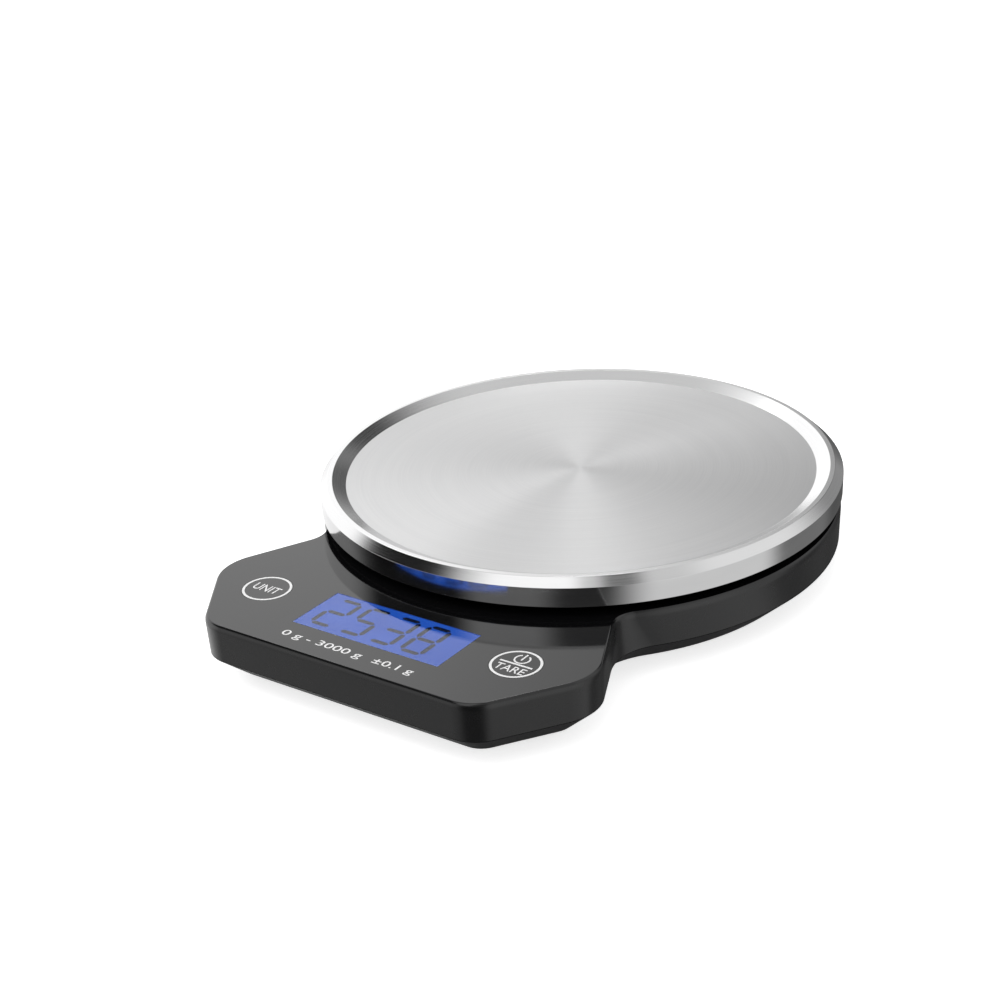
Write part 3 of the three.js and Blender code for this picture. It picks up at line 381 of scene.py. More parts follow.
class Finish:
    """One node material, with short ways to add and join nodes."""

    def __init__(self, name, **sockets):
        self.material = bpy.data.materials.new(name)
        self.material.use_nodes = True
        self.tree = self.material.node_tree
        self.shader = next(n for n in self.tree.nodes if n.type == "BSDF_PRINCIPLED")
        for socket, value in sockets.items():
            self.shader.inputs[SOCKETS[socket]].default_value = value

    def node(self, kind, settings=None, **inputs):
        made = self.tree.nodes.new(kind)
        for name, value in (settings or {}).items():
            setattr(made, name, value)
        for name, value in inputs.items():
            socket = made.inputs[int(name[1:]) if name[0] == "i" and name[1:].isdigit() else name]
            if isinstance(value, bpy.types.NodeSocket):
                self.tree.links.new(value, socket)
            else:
                socket.default_value = value
        return made

    def feed(self, socket, output):
        self.tree.links.new(output, self.shader.inputs[SOCKETS[socket]])

    def place(self):
        """Place on the object, in metres."""
        return self.node("ShaderNodeTexCoord").outputs["Object"]

    def noise(self, size, detail=3.0, place=None):
        """Noise whose features are about the given size, from 0 to 1."""
        made = self.node(
            "ShaderNodeTexNoise",
            Vector=place or self.place(),
            Scale=1 / size,
            Detail=detail,
        )
        return made.outputs["Fac"]

    def spread(self, value, low, high, start=0.3, end=0.7):
        """Maps a 0 to 1 pattern onto a range."""
        made = self.node("ShaderNodeMapRange", Value=value)
        made.inputs["From Min"].default_value = start
        made.inputs["From Max"].default_value = end
        made.inputs["To Min"].default_value = low
        made.inputs["To Max"].default_value = high
        return made.outputs["Result"]

    def tones(self, value, dark, light):
        """A mix between two colours."""
        made = self.node("ShaderNodeMix", {"data_type": "RGBA"})
        self.tree.links.new(value, made.inputs[0])
        made.inputs[6].default_value = (*dark, 1)
        made.inputs[7].default_value = (*light, 1)
        return made.outputs[2]

    def relief(self, value, depth):
        made = self.node("ShaderNodeBump", Height=value, Distance=depth)
        self.feed("normal", made.outputs["Normal"])


SOCKETS = {
    "color": "Base Color",
    "metallic": "Metallic",
    "roughness": "Roughness",
    "ior": "IOR",
    "specular": "Specular IOR Level",
    "normal": "Normal",
    "tangent": "Tangent",
    "anisotropic": "Anisotropic",
    "turn": "Anisotropic Rotation",
    "clear": "Transmission Weight",
    "glow": "Emission Strength",
    "glow_color": "Emission Color",
}


PLASTIC_GLOSS_SPREAD = 0.06
METAL_GLOSS_SPREAD = 0.07
GRAINS_PER_BLOTCH = 30


def moulded(name, dark, light, roughness, grain, depth):
    """Moulded plastic or rubber with a fine grain and slightly uneven colour and gloss."""
    finish = Finish(name)
    fine = finish.noise(grain)
    wide = finish.noise(GRAINS_PER_BLOTCH * grain)
    finish.feed("color", finish.tones(wide, dark, light))
    low, high = roughness - PLASTIC_GLOSS_SPREAD, roughness + PLASTIC_GLOSS_SPREAD
    finish.feed("roughness", finish.spread(fine, low, high))
    finish.relief(fine, depth)
    return finish.material


def gloss_black():
    """Polished black plastic with faint haze marks and slight waviness, duller on its walls."""
    finish = Finish("gloss_black", ior=1.56)
    haze = finish.noise(9 * MM, 5.0)
    wave = finish.noise(28 * MM, 1.0)
    finish.feed("color", finish.tones(haze, (0.003, 0.003, 0.0033), (0.0045, 0.0046, 0.005)))
    normal = finish.node("ShaderNodeNewGeometry").outputs["Normal"]
    upwards = finish.node("ShaderNodeSeparateXYZ", Vector=normal).outputs["Z"]
    dulling = finish.spread(upwards, 0.2, 0, 0.3, 0.97)
    polish = finish.spread(haze, 0.045, 0.085)
    roughness = finish.node("ShaderNodeMath", {"operation": "ADD"}, i0=dulling, i1=polish)
    finish.feed("roughness", roughness.outputs[0])
    finish.relief(wave, 0.03 * MM)
    return finish.material


def polar(finish):
    """Radius from the plate's axis, and a unit vector that points away from it."""
    centred = finish.node(
        "ShaderNodeVectorMath",
        {"operation": "SUBTRACT"},
        i0=finish.place(),
        i1=(PLATE_CENTRE.x, PLATE_CENTRE.y, 0),
    )
    level = finish.node(
        "ShaderNodeVectorMath",
        {"operation": "MULTIPLY"},
        i0=centred.outputs[0],
        i1=(1, 1, 0),
    )
    radius = finish.node("ShaderNodeVectorMath", {"operation": "LENGTH"}, i0=level.outputs[0])
    away = finish.node("ShaderNodeVectorMath", {"operation": "NORMALIZE"}, i0=level.outputs[0])
    return radius.outputs["Value"], away.outputs[0]


def turned_lines(finish, line, spread_around):
    """Fine lines round the plate's axis, each broken along its length."""
    radius, away = polar(finish)
    around = finish.node(
        "ShaderNodeVectorMath", {"operation": "SCALE"}, i0=away, Scale=spread_around
    )
    parts = finish.node("ShaderNodeSeparateXYZ", Vector=around.outputs[0])
    stacked = finish.node("ShaderNodeMath", {"operation": "DIVIDE"}, i0=radius, i1=line)
    joined = finish.node(
        "ShaderNodeCombineXYZ",
        X=parts.outputs["X"],
        Y=parts.outputs["Y"],
        Z=stacked.outputs[0],
    )
    return finish.noise(1.0, 4.0, joined.outputs[0])


def spun_disc():
    """Circularly brushed steel, whose highlights fan out from the middle."""
    finish = Finish("spun_disc", metallic=1.0, anisotropic=0.8, turn=0.25)
    fine = turned_lines(finish, 0.22 * MM, 1.6)
    bands = turned_lines(finish, 2.6 * MM, 0.5)
    both = finish.node("ShaderNodeMath", {"operation": "MULTIPLY_ADD"}, i0=bands, i1=0.5, i2=fine)
    mean = finish.spread(both.outputs[0], 0.0, 1.0, 0.45, 1.05)
    finish.feed("color", finish.tones(mean, (0.555, 0.556, 0.56), (0.615, 0.615, 0.615)))
    finish.feed("roughness", finish.spread(mean, 0.31, 0.37, 0.0, 1.0))
    finish.relief(fine, 0.0025 * MM)
    tangent = finish.node("ShaderNodeTangent", {"direction_type": "RADIAL", "axis": "Z"})
    finish.feed("tangent", tangent.outputs[0])
    return finish.material


def turned_rim():
    """Lathe turned steel on the rim, bevel and skirt: bright, with fine lines round the axis."""
    finish = Finish("turned_rim", metallic=1.0, anisotropic=0.6, turn=0.25)
    fine = turned_lines(finish, 0.16 * MM, 2.2)
    finish.feed("color", finish.tones(fine, (0.65, 0.65, 0.655), (0.74, 0.74, 0.74)))
    finish.feed("roughness", finish.spread(fine, 0.10, 0.17))
    finish.relief(fine, 0.002 * MM)
    tangent = finish.node("ShaderNodeTangent", {"direction_type": "RADIAL", "axis": "Z"})
    finish.feed("tangent", tangent.outputs[0])
    return finish.material


def clear_pane():
    finish = Finish("clear_pane", clear=1.0, ior=1.3)
    haze = finish.noise(7 * MM)
    finish.feed("roughness", finish.spread(haze, 0.0, 0.02))
    finish.feed("color", finish.tones(haze, (0.97, 0.98, 1.0), (1.0, 1.0, 1.0)))
    return finish.material


def lit_display():
    """Blue backlit liquid crystal, with a slightly uneven glow in broad and fine patches."""
    finish = Finish("lit_display", color=(0.004, 0.006, 0.02, 1), specular=0.0, glow=1.0)
    wide = finish.noise(18 * MM, 2.0)
    fine = finish.noise(0.5 * MM, 2.0)
    both = finish.node("ShaderNodeMath", {"operation": "MULTIPLY_ADD"}, i0=fine, i1=0.3, i2=wide)
    glow = finish.tones(
        finish.spread(both.outputs[0], 0.0, 1.0, 0.45, 0.85), (0.011, 0.072, 0.42), (0.016, 0.09, 0.49)
    )
    finish.feed("glow_color", glow)
    return finish.material


def dark_segment():
    """Blocked liquid crystal: black, with a trace of the light behind it."""
    finish = Finish("dark_segment", specular=0.0, glow=1.0)
    grain = finish.noise(0.6 * MM)
    finish.feed("color", finish.tones(grain, (0.002, 0.002, 0.002), (0.004, 0.004, 0.004)))
    finish.feed("roughness", finish.spread(grain, 0.5, 0.7))
    finish.feed("glow_color", finish.tones(grain, (0.001, 0.004, 0.02), (0.001, 0.006, 0.03)))
    return finish.material


def printed_white():
    finish = Finish("printed_white", ior=1.5)
    grain = finish.noise(0.25 * MM)
    finish.feed("color", finish.tones(grain, (0.80, 0.80, 0.80), (0.88, 0.88, 0.88)))
    finish.feed("roughness", finish.spread(grain, 0.35, 0.5))
    return finish.material


def metal(name, dark, light, roughness, size):
    finish = Finish(name, metallic=1.0)
    grain = finish.noise(size, 4.0)
    finish.feed("color", finish.tones(grain, dark, light))
    low, high = roughness - METAL_GLOSS_SPREAD, roughness + METAL_GLOSS_SPREAD
    finish.feed("roughness", finish.spread(grain, low, high))
    finish.relief(grain, 0.01 * MM)
    return finish.material


FINISHES = {
    "gloss_black": gloss_black(),
    "matte_black": moulded(
        "matte_black", (0.011, 0.011, 0.012), (0.017, 0.017, 0.018), 0.5, 0.25 * MM, 0.02 * MM
    ),
    "steel": spun_disc(),
    "rim": turned_rim(),
    "window": clear_pane(),
    "display": lit_display(),
    "segment": dark_segment(),
    "print": printed_white(),
    "diffuser": moulded(
        "diffuser", (0.78, 0.80, 0.86), (0.86, 0.88, 0.92), 0.45, 0.4 * MM, 0.01 * MM
    ),
    "board_green": moulded(
        "board_green", (0.012, 0.075, 0.028), (0.02, 0.11, 0.045), 0.35, 0.3 * MM, 0.01 * MM
    ),
    "ivory_plastic": moulded(
        "ivory_plastic", (0.70, 0.66, 0.56), (0.78, 0.74, 0.64), 0.45, 0.3 * MM, 0.01 * MM
    ),
    "aluminium": metal("aluminium", (0.55, 0.56, 0.57), (0.66, 0.67, 0.68), 0.36, 0.5 * MM),
    "zinc": metal("zinc", (0.42, 0.43, 0.44), (0.58, 0.58, 0.57), 0.32, 0.7 * MM),
    "rubber": moulded(
        "rubber", (0.013, 0.013, 0.014), (0.022, 0.022, 0.022), 0.75, 0.35 * MM, 0.03 * MM
    ),
    "silicone": moulded(
        "silicone", (0.62, 0.62, 0.63), (0.70, 0.70, 0.71), 0.55, 0.5 * MM, 0.01 * MM
    ),
    "cell_wrap": metal("cell_wrap", (0.10, 0.13, 0.17), (0.15, 0.19, 0.24), 0.34, 1.2 * MM),
    "red_wire": moulded("red_wire", (0.36, 0.02, 0.015), (0.46, 0.03, 0.02), 0.45, 0.5 * MM, 0.01 * MM),
    "black_wire": moulded(
        "black_wire", (0.012, 0.012, 0.012), (0.02, 0.02, 0.02), 0.45, 0.5 * MM, 0.01 * MM
    ),
    "grey_cable": moulded(
        "grey_cable", (0.22, 0.23, 0.24), (0.28, 0.29, 0.30), 0.5, 0.5 * MM, 0.01 * MM
    ),
}


# Pieces of the base

def casing_top():
    """The glossy upper shell, with its fillet, drafted wall, openings and overload stops."""
    fillet = []
    drum_round = DRUM_ROUND_HEIGHT / math.sin(DRUM_ROUND_LEAN)
    for i in range(FILLET_STEPS + 1):
        share = i / FILLET_STEPS
        angle = math.pi / 2 * share
        lean = DRUM_ROUND_LEAN * (1 - share)
        inset = TOP_FILLET * (1 - math.sin(angle))
        height = BASE_TOP - TOP_ROUND_HEIGHT * (1 - math.cos(angle))
        drum_height = BASE_TOP - DRUM_ROUND_HEIGHT + drum_round * math.sin(lean)
        fillet.append(base_ring(inset, height, (drum_round * (1 - math.cos(lean)), drum_height)))
    hem = []
    for i in range(FILLET_STEPS // 2 + 1):
        angle = math.pi / 2 * i / (FILLET_STEPS // 2)
        inset = WALL_DRAFT + SEAM_FILLET * (1 - math.cos(angle))
        height = PARTING + SEAM_FILLET * (1 - math.sin(angle))
        hem.append(base_ring(inset, height, None, LOW_WAIST_FILLET))
    inside = [
        base_ring(WALL_DRAFT + WALL, PARTING, None, LOW_WAIST_FILLET),
        base_ring(WALL, CEILING),
    ]
    shell = lofted([*fillet, *hem, *inside])
    through = (CEILING - OVERRUN, BASE_TOP + OVERRUN)
    holes = [rod(KEY_RADIUS + KEY_SEAM, through, place) for place in KEYS.values()]
    bolts = [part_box(name) for name in ("carrier_bolt_1", "carrier_bolt_2")]
    boss_x = sum(low.x + high.x for low, high in bolts) / (2 * len(bolts))
    holes.append(rod(BOSS_HOLE_RADIUS, through, (boss_x, PLATE_CENTRE.y)))
    window = block(
        (WINDOW_LOW.x - KEY_SEAM, WINDOW_HIGH.x + KEY_SEAM),
        (WINDOW_LOW.y - KEY_SEAM, WINDOW_HIGH.y + KEY_SEAM),
        through,
    )
    shell = boolean(shell, "DIFFERENCE", window, *holes)
    stops = []
    for i in range(STOP_COUNT):
        angle = TURN * (i + 0.5) / STOP_COUNT
        place = (STOP_CIRCLE * math.cos(angle), PLATE_CENTRE.y + STOP_CIRCLE * math.sin(angle))
        stops.append(rod(STOP_RADIUS, (BASE_TOP - OVERRUN, STOP_TOP), place))
    return smoothed(boolean(shell, "UNION", *stops))


def sole():
    """The lower shell with its slope drawn finely over the frame's coarser one."""
    top_rounds = None, LOW_WAIST_FILLET
    low_rounds = None, LOW_WAIST_FILLET, SOLE_CORNER_RADIUS
    outer = lofted([
        base_ring(WALL_DRAFT, PARTING, *top_rounds),
        base_ring(WALL_DRAFT + SOLE_UNDERCUT, BASE_BOTTOM, *low_rounds),
    ])
    inset = WALL_DRAFT + SOLE_SKIN
    lean = SOLE_UNDERCUT * OVERRUN / SOLE_HEIGHT
    inner = lofted([
        base_ring(inset - lean, PARTING + OVERRUN, *top_rounds),
        base_ring(inset + SOLE_UNDERCUT + lean, BASE_BOTTOM - OVERRUN, *low_rounds),
    ])
    skin = boolean(outer, "DIFFERENCE", inner)
    mesh = boolean(frame["nodes"]["lower_shell"].data.copy(), "UNION", skin)
    softly_shaded(mesh)
    for polygon in mesh.polygons:
        polygon.use_smooth = abs(polygon.normal.z) < LEVEL_NORMAL
    return mesh


def key_cap(name):
    """A key's cap and stem, flush with the casing."""
    low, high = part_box(f"{name}_key")
    edge = KEY_RADIUS + KEY_SEAM - KEY_CAP_SEAM
    flange = (high.x - low.x) / 2
    flange_bottom = CEILING - KEY_FLANGE_THICKNESS
    profile = [
        (0, low.z),
        (KEY_STEM_RADIUS, low.z),
        (KEY_STEM_RADIUS, flange_bottom),
        (flange, flange_bottom),
        (flange, CEILING),
        (edge, CEILING),
        (edge, BASE_TOP),
        (0, BASE_TOP),
    ]
    return smoothed(lathe(profile, KEYS[name]))


def plate_sheet():
    """The steel plate: sunken disc, rim, bevel and skirt in one sheet with rounded folds."""
    top, disc = PLATE_TOP, PLATE_TOP - DISC_DEPTH
    rim_outer = PLATE_RADIUS - BEVEL_WIDTH
    rim_inner = rim_outer - RIM_WIDTH
    disc_edge = rim_inner - INNER_SLOPE_WIDTH
    skirt = PLATE_RADIUS - SKIRT_TAPER
    bevel_bottom = top - BEVEL_DROP
    points = [
        (0, disc),
        (disc_edge, disc),
        (rim_inner, top),
        (rim_outer, top),
        (PLATE_RADIUS, bevel_bottom),
        (skirt, SKIRT_BOTTOM),
        (skirt - SHEET, SKIRT_BOTTOM),
        (PLATE_RADIUS - SHEET, bevel_bottom - SHEET / 2),
        (rim_outer - SHEET / 2, top - SHEET),
        (rim_inner, top - SHEET),
        (disc_edge, disc - SHEET),
        (0, disc - SHEET),
    ]
    radii = [
        DISC_FILLET,
        RIM_FILLET,
        RIM_FILLET,
        BEVEL_FILLET,
        HEM_FILLET,
        HEM_FILLET,
        *[0] * 4,
    ]
    mesh = smoothed(lathe(rounded(points, radii), PLATE_CENTRE, PLATE_SIDES))
    return mesh, disc_edge


# Marks

def flat_shape(outlines, z):
    """Thin printed shapes, each a closed outline of points."""
    made = bmesh.new()
    for outline in outlines:
        low = [made.verts.new((p[0], p[1], z[0])) for p in outline]
        high = [made.verts.new((p[0], p[1], z[1])) for p in outline]
        made.faces.new(list(reversed(low)))
        made.faces.new(high)
        for i in range(len(outline)):
            j = (i + 1) % len(outline)
            made.faces.new([low[i], low[j], high[j], high[i]])
    mesh = bpy.data.meshes.new("marks")
    made.to_mesh(mesh)
    made.free()
    return mesh


def band(centre, radius, stroke, z, start=0.0, sweep=TURN):
    """A printed ring, or part of one."""
    steps = max(LEAST_BAND_STEPS, round(CIRCLE_SIDES * sweep / TURN))
    made = bmesh.new()
    rows = []
    closed = sweep == TURN
    for i in range(steps if closed else steps + 1):
        angle = start + sweep * i / steps
        out = Vector((math.cos(angle), math.sin(angle), 0))
        row = []
        for r, h in ((-1, 0), (1, 0), (1, 1), (-1, 1)):
            spot = out * (radius + r * stroke / 2)
            row.append(made.verts.new((centre[0] + spot.x, centre[1] + spot.y, z[h])))
        rows.append(row)
    pairs = list(zip(rows, rows[1:] + rows[:1])) if closed else list(zip(rows, rows[1:]))
    for a, b in pairs:
        for k in range(4):
            n = (k + 1) % 4
            made.faces.new([a[k], a[n], b[n], b[k]])
    if not closed:
        made.faces.new(rows[0])
        made.faces.new(list(reversed(rows[-1])))
    bmesh.ops.recalc_face_normals(made, faces=made.faces)
    mesh = bpy.data.meshes.new("band")
    made.to_mesh(mesh)
    made.free()
    return mesh


def word(text, centre, width, height, z):
    """A printed word, stretched to a width and height about its centre."""
    curve = bpy.data.curves.new("word", "FONT")
    curve.body = text
    curve.offset = LETTER_WEIGHT
    curve.resolution_u = LETTER_STEPS
    curve.extrude = 0.5
    carrier = bpy.data.objects.new("word", curve)
    bpy.context.scene.collection.objects.link(carrier)
    mesh = applied(carrier)
    corners = [v.co for v in mesh.vertices]
    low = Vector(map(min, *corners))
    high = Vector(map(max, *corners))
    size = high - low
    middle = (low + high) / 2
    scale = Vector((width / size.x, height / size.y, (z[1] - z[0]) / size.z))
    target = Vector((centre[0], centre[1], (z[0] + z[1]) / 2))
    for vertex in mesh.vertices:
        shifted = vertex.co - middle
        vertex.co = target + Vector((shifted.x * scale.x, shifted.y * scale.y, shifted.z * scale.z))
    return mesh


def joined(meshes):
    """Several meshes as one."""
    made = bmesh.new()
    for mesh in meshes:
        made.from_mesh(mesh)
    result = bpy.data.meshes.new("joined")
    made.to_mesh(result)
    made.free()
    return result


SEGMENTS = {
    "0": "abcdef",
    "1": "bc",
    "2": "abged",
    "3": "abgcd",
    "4": "fgbc",
    "5": "afgcd",
    "6": "afgedc",
    "7": "abc",
    "8": "abcdefg",
    "9": "abcdfg",
}


def digit(figure, centre):
    """Outlines of one seven segment figure."""
    half_w, half_h = DIGIT_WIDTH / 2, DIGIT_HEIGHT / 2
    corners = {
        "a": ((-half_w, half_h), (half_w, half_h)),
        "b": ((half_w, half_h), (half_w, 0)),
        "c": ((half_w, 0), (half_w, -half_h)),
        "d": ((-half_w, -half_h), (half_w, -half_h)),
        "e": ((-half_w, 0), (-half_w, -half_h)),
        "f": ((-half_w, half_h), (-half_w, 0)),
        "g": ((-half_w, 0), (half_w, 0)),
    }
    outlines = []
    for name in SEGMENTS[figure]:
        start, end = (Vector(p) + Vector(centre[:2]) for p in corners[name])
        along = (end - start).normalized()
        across = Vector((-along.y, along.x)) * DIGIT_STROKE / 2
        tip, shoulder = along * DIGIT_GAP, along * (DIGIT_GAP + DIGIT_STROKE / 2)
        outlines.append([
            start + tip,
            start + shoulder - across,
            end - shoulder - across,
            end - tip,
            end - shoulder + across,
            start + shoulder + across,
        ])
    return outlines


def key_marks(name):
    """Ring and word of a key, with the power sign and bar on the tare key."""
    place = KEYS[name]
    z = (BASE_TOP - PRINT_HEIGHT, BASE_TOP + PRINT_HEIGHT)
    shapes = [band(place, RING_RADIUS, RING_STROKE, z)]
    if name == "unit":
        shapes.append(word("UNIT", place, UNIT_WORD_WIDTH, UNIT_WORD_HEIGHT, z))
        return joined(shapes)
    half, thick = TARE_BAR_LENGTH / 2, TARE_BAR_STROKE / 2
    x, y = place.x, place.y
    bar = [(x - half, y - thick), (x + half, y - thick), (x + half, y + thick), (x - half, y + thick)]
    power = Vector((x, y + POWER_RISE))
    stem_top = power.y + POWER_RADIUS * POWER_STEM_TOP_SHARE
    stem_low = power.y - POWER_RADIUS * POWER_STEM_LOW_SHARE
    stem = [
        (x - POWER_STROKE / 2, stem_low),
        (x + POWER_STROKE / 2, stem_low),
        (x + POWER_STROKE / 2, stem_top),
        (x - POWER_STROKE / 2, stem_top),
    ]
    shapes.append(flat_shape([bar, stem], z))
    start = math.pi / 2 + POWER_GAP_ANGLE
    shapes.append(band(power, POWER_RADIUS, POWER_STROKE, z, start, TURN - 2 * POWER_GAP_ANGLE))
    drop = Vector((x, y - TARE_WORD_DROP))
    shapes.append(word("TARE", drop, TARE_WORD_WIDTH, TARE_WORD_HEIGHT, z))
    return joined(shapes)


def make_base():
    shell = new_piece("casing_top", casing_top(), "base", "gloss_black", "upper_shell")
    shell.data.materials.append(FINISHES["gloss_black"])
    tray = new_piece("casing_sole", sole(), "base", "matte_black", "lower_shell")
    tray.data.materials.clear()
    tray.data.materials.append(FINISHES["matte_black"])
    for name in KEYS:
        cap = new_piece(f"{name}_key_cap", key_cap(name), f"{name}_button", "gloss_black", f"{name}_key")
        cap.data.materials.append(FINISHES["gloss_black"])
        marks = new_piece(f"{name}_key_marks", key_marks(name), f"{name}_button", "gloss_black")
        marks.data.materials.append(FINISHES["print"])


def make_display():
    """Clear pane, lit film and digits, in the casing's window."""
    x = (WINDOW_LOW.x - KEY_SEAM + PANE_SEAM, WINDOW_HIGH.x + KEY_SEAM - PANE_SEAM)
    y = (WINDOW_LOW.y - KEY_SEAM + PANE_SEAM, WINDOW_HIGH.y + KEY_SEAM - PANE_SEAM)
    film_top = BASE_TOP - PANE_THICKNESS
    film = new_piece("display_film", block(x, y, (CEILING, film_top - PRINT_HEIGHT)), "base", "display")
    film.data.materials.append(FINISHES["display"])
    pane_mesh = block(x, y, (film_top + PRINT_HEIGHT, BASE_TOP))
    pane = new_piece("display_pane", pane_mesh, "base", "window", "display_window")
    pane.data.materials.append(FINISHES["window"])
    middle = (WINDOW_LOW + WINDOW_HIGH).to_2d() / 2 + DIGITS_SHIFT
    outlines = []
    for i, figure in enumerate(DIGITS):
        offset = (i - (len(DIGITS) - 1) / 2) * DIGIT_PITCH
        outlines += digit(figure, middle + Vector((offset, 0)))
    z = (film_top - PRINT_HEIGHT, film_top)
    digits = new_piece("display_digits", flat_shape(outlines, z), "base", "display")
    digits.data.materials.append(FINISHES["segment"])


def make_rating():
    """Plain numbers with their unit under the display."""
    z = (BASE_TOP - PRINT_HEIGHT, BASE_TOP + PRINT_HEIGHT)
    middle = (WINDOW_LOW.x + WINDOW_HIGH.x) / 2
    y = WINDOW_LOW.y - RATING_DROP
    reach = word("0 g - 3000 g", (middle + RANGE_X, y), RANGE_WIDTH, RATING_HEIGHT, z)
    step = word("±0.1 g", (middle + STEP_X, y), STEP_WIDTH, RATING_HEIGHT, z)
    rating = new_piece("rating_marks", joined([reach, step]), "base", "gloss_black")
    rating.data.materials.append(FINISHES["print"])


def make_plate():
    mesh, disc_edge = plate_sheet()
    sheet = new_piece("plate_sheet", mesh, "plate", "steel", "weighing_plate")
    sheet.data.materials.append(FINISHES["steel"])
    sheet.data.materials.append(FINISHES["rim"])
    for polygon in sheet.data.polygons:
        centre = polygon.center.to_2d() - PLATE_CENTRE.to_2d()
        polygon.material_index = 0 if centre.length < disc_edge else 1


SLOTS = {part["node"]: part["material_slot"] for part in frame["record"]["subparts"]}
BODIES = frame["record"]["behaviour"]["bodies"]
DRAWN_ANEW = ("upper_shell", "lower_shell", "display_window", "unit_key", "tare_key", "weighing_plate")


def dress_frame():
    """Node materials on the CAD nodes."""
    for name, node in frame["nodes"].items():
        node.data.materials.clear()
        node.data.materials.append(FINISHES[SLOTS[name]])


def edge_softened(node):
    """A node's mesh with its coplanar faces merged and its edges slightly rounded."""
    mesh = node.data.copy()
    made = bmesh.new()
    made.from_mesh(mesh)
    bmesh.ops.remove_doubles(made, verts=made.verts, dist=MERGE_DISTANCE)
    bmesh.ops.dissolve_limit(made, angle_limit=MERGE_ANGLE, verts=made.verts, edges=made.edges)
    made.to_mesh(mesh)
    made.free()
    low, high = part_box(node.name)
    carrier = bpy.data.objects.new("softened", mesh)
    bpy.context.scene.collection.objects.link(carrier)
    bevel = carrier.modifiers.new("edges", "BEVEL")
    bevel.width = min(EDGE_ROUND, EDGE_SHARE * min(high - low))
    bevel.segments = 2
    bevel.limit_method = "ANGLE"
    bevel.angle_limit = SMOOTH_ANGLE
    return smoothed(applied(carrier))


def make_fittings():
    """The rest of the pieces, after the CAD but with soft edges."""
    for body, names in BODIES.items():
        for name in names:
            if name in DRAWN_ANEW:
                continue
            node = frame["nodes"][name]
            piece = new_piece(f"{name}_fine", edge_softened(node), body, SLOTS[name], name)
            piece.data.materials.clear()
            piece.data.materials.append(FINISHES[SLOTS[name]])


# Studio

# The camera's place, angles and lens, fitted to the photo
CAMERA_PLACE = Vector((0.33588, -0.46664, 0.29467))
CAMERA_YAW = math.radians(37.0005)
CAMERA_PITCH = math.radians(-24.8692)
CAMERA_ROLL = math.radians(-3.359)
SENSOR_WIDTH = 36
FOCAL_SHARE = 2.10999


def make_camera():
    data = bpy.data.cameras.new("camera")
    data.sensor_width = SENSOR_WIDTH
    data.lens = SENSOR_WIDTH * FOCAL_SHARE
    camera = bpy.data.objects.new("camera", data)
    turn = (
        Matrix.Rotation(CAMERA_YAW, 4, "Z")
        @ Matrix.Rotation(math.pi / 2 + CAMERA_PITCH, 4, "X")
        @ Matrix.Rotation(CAMERA_ROLL, 4, "Z")
    )
    camera.matrix_world = Matrix.Translation(CAMERA_PLACE) @ turn
    bpy.context.scene.collection.objects.link(camera)
    bpy.context.scene.camera = camera


# What surrounds the object: patches of light and dark, each with its azimuth from +Y towards +X
# and its elevation in degrees, both as middle, half width and softness of the edge, and a level
SKY_LEVEL = 0.78
SKY_PATCHES = [
    ((-85, 48.5, 6.5), (16.5, 34.5, 10), 1.4),
    ((-72, 32, 8), (-30, 25, 8), 1.05),
    ((180, 30, 8), (50, 32, 8), 1.35),
    ((55, 24, 10), (42, 18, 8), 1.0),
    ((120, 13, 7), (66, 9, 5), 0.2),
    ((8, 20, 14), (5, 22, 10), 0.33),
    ((-40, 14, 6), (48, 8, 6), 0.9),
    ((-24, 8, 6), (40, 10, 6), 1.2),
    ((-18, 11, 7), (4, 24, 8), 0.14),
    ((-8, 9, 6), (37, 14, 12), 0.06),
    ((-32, 4, 3), (19, 4, 2.5), 0.95),
    ((-33, 4.5, 4), (-11, 9, 6), 0.38),
    ((3, 8, 5), (28, 7, 5), 0.05),
    ((-150, 30, 8), (-28, 16, 8), 0.5),
    ((157, 32, 13), (-28, 14, 8), 0.05),
    ((158, 32, 12), (0, 18, 8), 0.04),
    ((100, 22, 10), (0, 18, 8), 1.1),
    ((140, 21, 8), (28, 9, 6), 0.15),
    ((8, 46, 8), (-30, 28, 6), 0.2),
    ((-10, 20, 8), (-30, 22, 8), 0.1),
    ((0, 200, 1), (-70, 27, 6), 0.1),
    ((-118, 21, 9), (41, 15, 5), 0.01),
    ((-135, 27, 8), (27, 9, 4), 0.02),
    ((-34, 2.6, 1), (43, 3, 1), 8),
    ((-54.5, 4, 1.5), (42, 2.5, 1), 6),
]


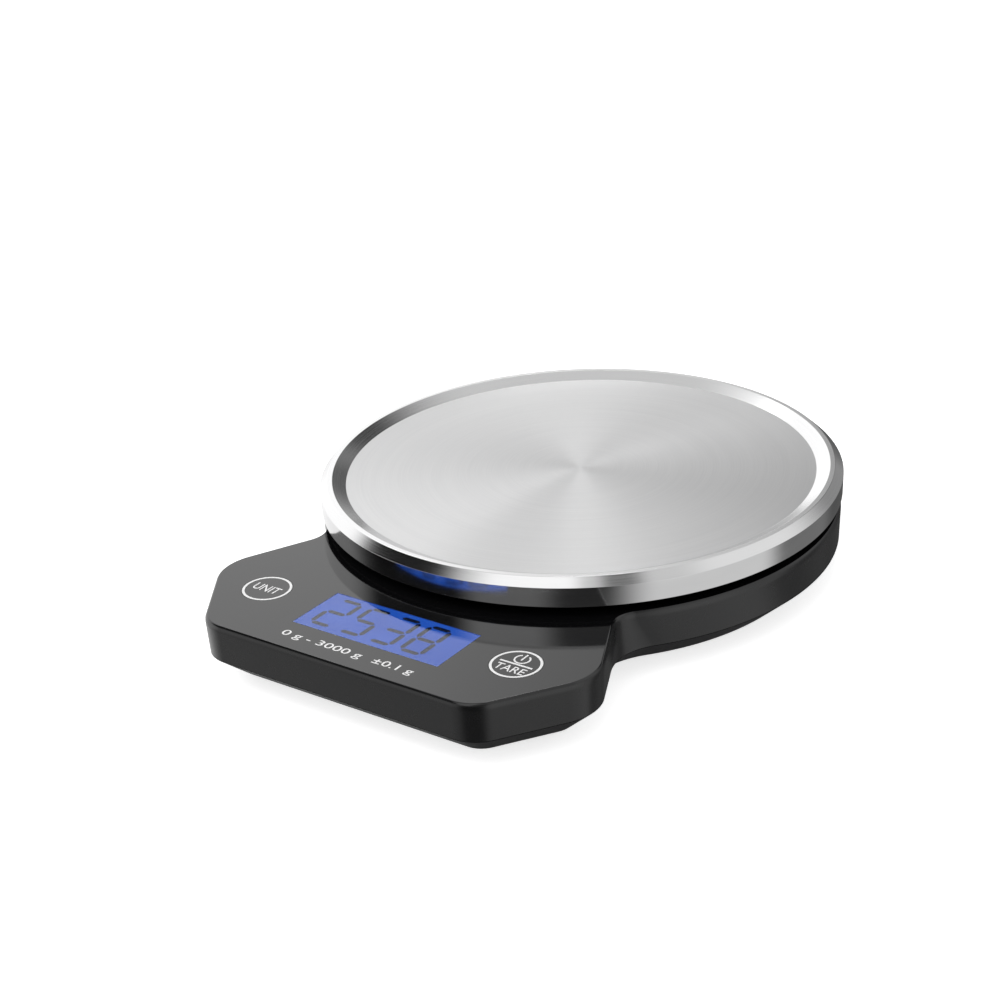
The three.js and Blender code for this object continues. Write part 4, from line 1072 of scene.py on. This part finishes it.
def make_world():
    world = bpy.data.worlds.new("studio")
    world.use_nodes = True
    bpy.context.scene.world = world
    tree = world.node_tree
    background = next(n for n in tree.nodes if n.type == "BACKGROUND")
    background.inputs["Color"].default_value = (1, 1, 1, 1)

    def math_node(operation, *values):
        made = tree.nodes.new("ShaderNodeMath")
        made.operation = operation
        for socket, value in zip(made.inputs, values):
            if isinstance(value, bpy.types.NodeSocket):
                tree.links.new(value, socket)
            else:
                socket.default_value = value
        return made.outputs[0]

    def inside(distance, half, softness):
        made = tree.nodes.new("ShaderNodeMapRange")
        made.interpolation_type = "SMOOTHSTEP"
        tree.links.new(distance, made.inputs["Value"])
        made.inputs["From Min"].default_value = math.radians(half + softness)
        made.inputs["From Max"].default_value = math.radians(half - softness)
        return made.outputs["Result"]

    parts = tree.nodes.new("ShaderNodeSeparateXYZ")
    direction = tree.nodes.new("ShaderNodeTexCoord").outputs["Generated"]
    tree.links.new(direction, parts.inputs[0])
    x, y, z = parts.outputs
    azimuth = math_node("ARCTAN2", x, y)
    elevation = math_node("ARCSINE", z)
    level = None
    for (middle, half_width, side), (height, half_height, edge), brightness in SKY_PATCHES:
        turned = math_node("SUBTRACT", azimuth, math.radians(middle))
        wrapped = math_node("WRAP", turned, math.pi, -math.pi)
        across = inside(math_node("ABSOLUTE", wrapped), half_width, side)
        raised = math_node("SUBTRACT", elevation, math.radians(height))
        upright = inside(math_node("ABSOLUTE", raised), half_height, edge)
        share = math_node("MULTIPLY", across, upright)
        start = SKY_LEVEL if level is None else level
        difference = math_node("SUBTRACT", brightness, start)
        level = math_node("MULTIPLY_ADD", share, difference, start)
    seen = tree.nodes.new("ShaderNodeLightPath").outputs["Is Camera Ray"]
    to_white = math_node("SUBTRACT", 1, level)
    tree.links.new(math_node("MULTIPLY_ADD", seen, to_white, level), background.inputs["Strength"])


FLOOR_HALF = 6
LAMP_PLACE = Vector((-0.7, -0.6, 1.1))
LAMP_SIZE = 0.9
LAMP_POWER = 6
FLOOR_WHITE = 0.82
FLOOR_LIFT = 0.72


def make_floor():
    """A pale floor that shows white to the camera, keeps the shadow, and is clear from below."""
    far = FLOOR_HALF
    mesh = mesh_from(
        [(-far, -far, 0), (far, -far, 0), (far, far, 0), (-far, far, 0)],
        [(0, 1, 2, 3)],
        "floor",
    )
    floor = bpy.data.objects.new("floor", mesh)
    bpy.context.scene.collection.objects.link(floor)
    floor.visible_glossy = False
    finish = Finish("floor", color=(FLOOR_WHITE, FLOOR_WHITE, FLOOR_WHITE, 1), roughness=0.9)
    tree = finish.tree
    output = next(n for n in tree.nodes if n.type == "OUTPUT_MATERIAL")
    path = finish.node("ShaderNodeLightPath")
    lift = finish.node(
        "ShaderNodeMath", {"operation": "MULTIPLY"}, i0=path.outputs["Is Camera Ray"], i1=FLOOR_LIFT
    )
    finish.shader.inputs["Emission Color"].default_value = (1, 1, 1, 1)
    finish.feed("glow", lift.outputs[0])
    clear = finish.node("ShaderNodeBsdfTransparent")
    side = finish.node("ShaderNodeNewGeometry")
    below = finish.node(
        "ShaderNodeMath",
        {"operation": "MULTIPLY"},
        i0=side.outputs["Backfacing"],
        i1=path.outputs["Is Camera Ray"],
    )
    mixed = finish.node("ShaderNodeMixShader", Fac=below.outputs[0])
    tree.links.new(finish.shader.outputs[0], mixed.inputs[1])
    tree.links.new(clear.outputs[0], mixed.inputs[2])
    tree.links.new(mixed.outputs[0], output.inputs["Surface"])
    mesh.materials.append(finish.material)


def make_lamp():
    """A soft square lamp that faces the middle of the footprint."""
    data = bpy.data.lights.new("key", "AREA")
    data.size = LAMP_SIZE
    data.energy = LAMP_POWER
    lamp = bpy.data.objects.new("key", data)
    lamp.rotation_euler = (-LAMP_PLACE).to_track_quat("-Z", "Y").to_euler()
    lamp.location = LAMP_PLACE
    lamp.visible_glossy = False
    bpy.context.scene.collection.objects.link(lamp)


make_camera()
make_world()
make_floor()
make_lamp()
dress_frame()
make_base()
make_display()
make_rating()
make_plate()
make_fittings()

bpy.context.scene.view_settings.view_transform = "Standard"
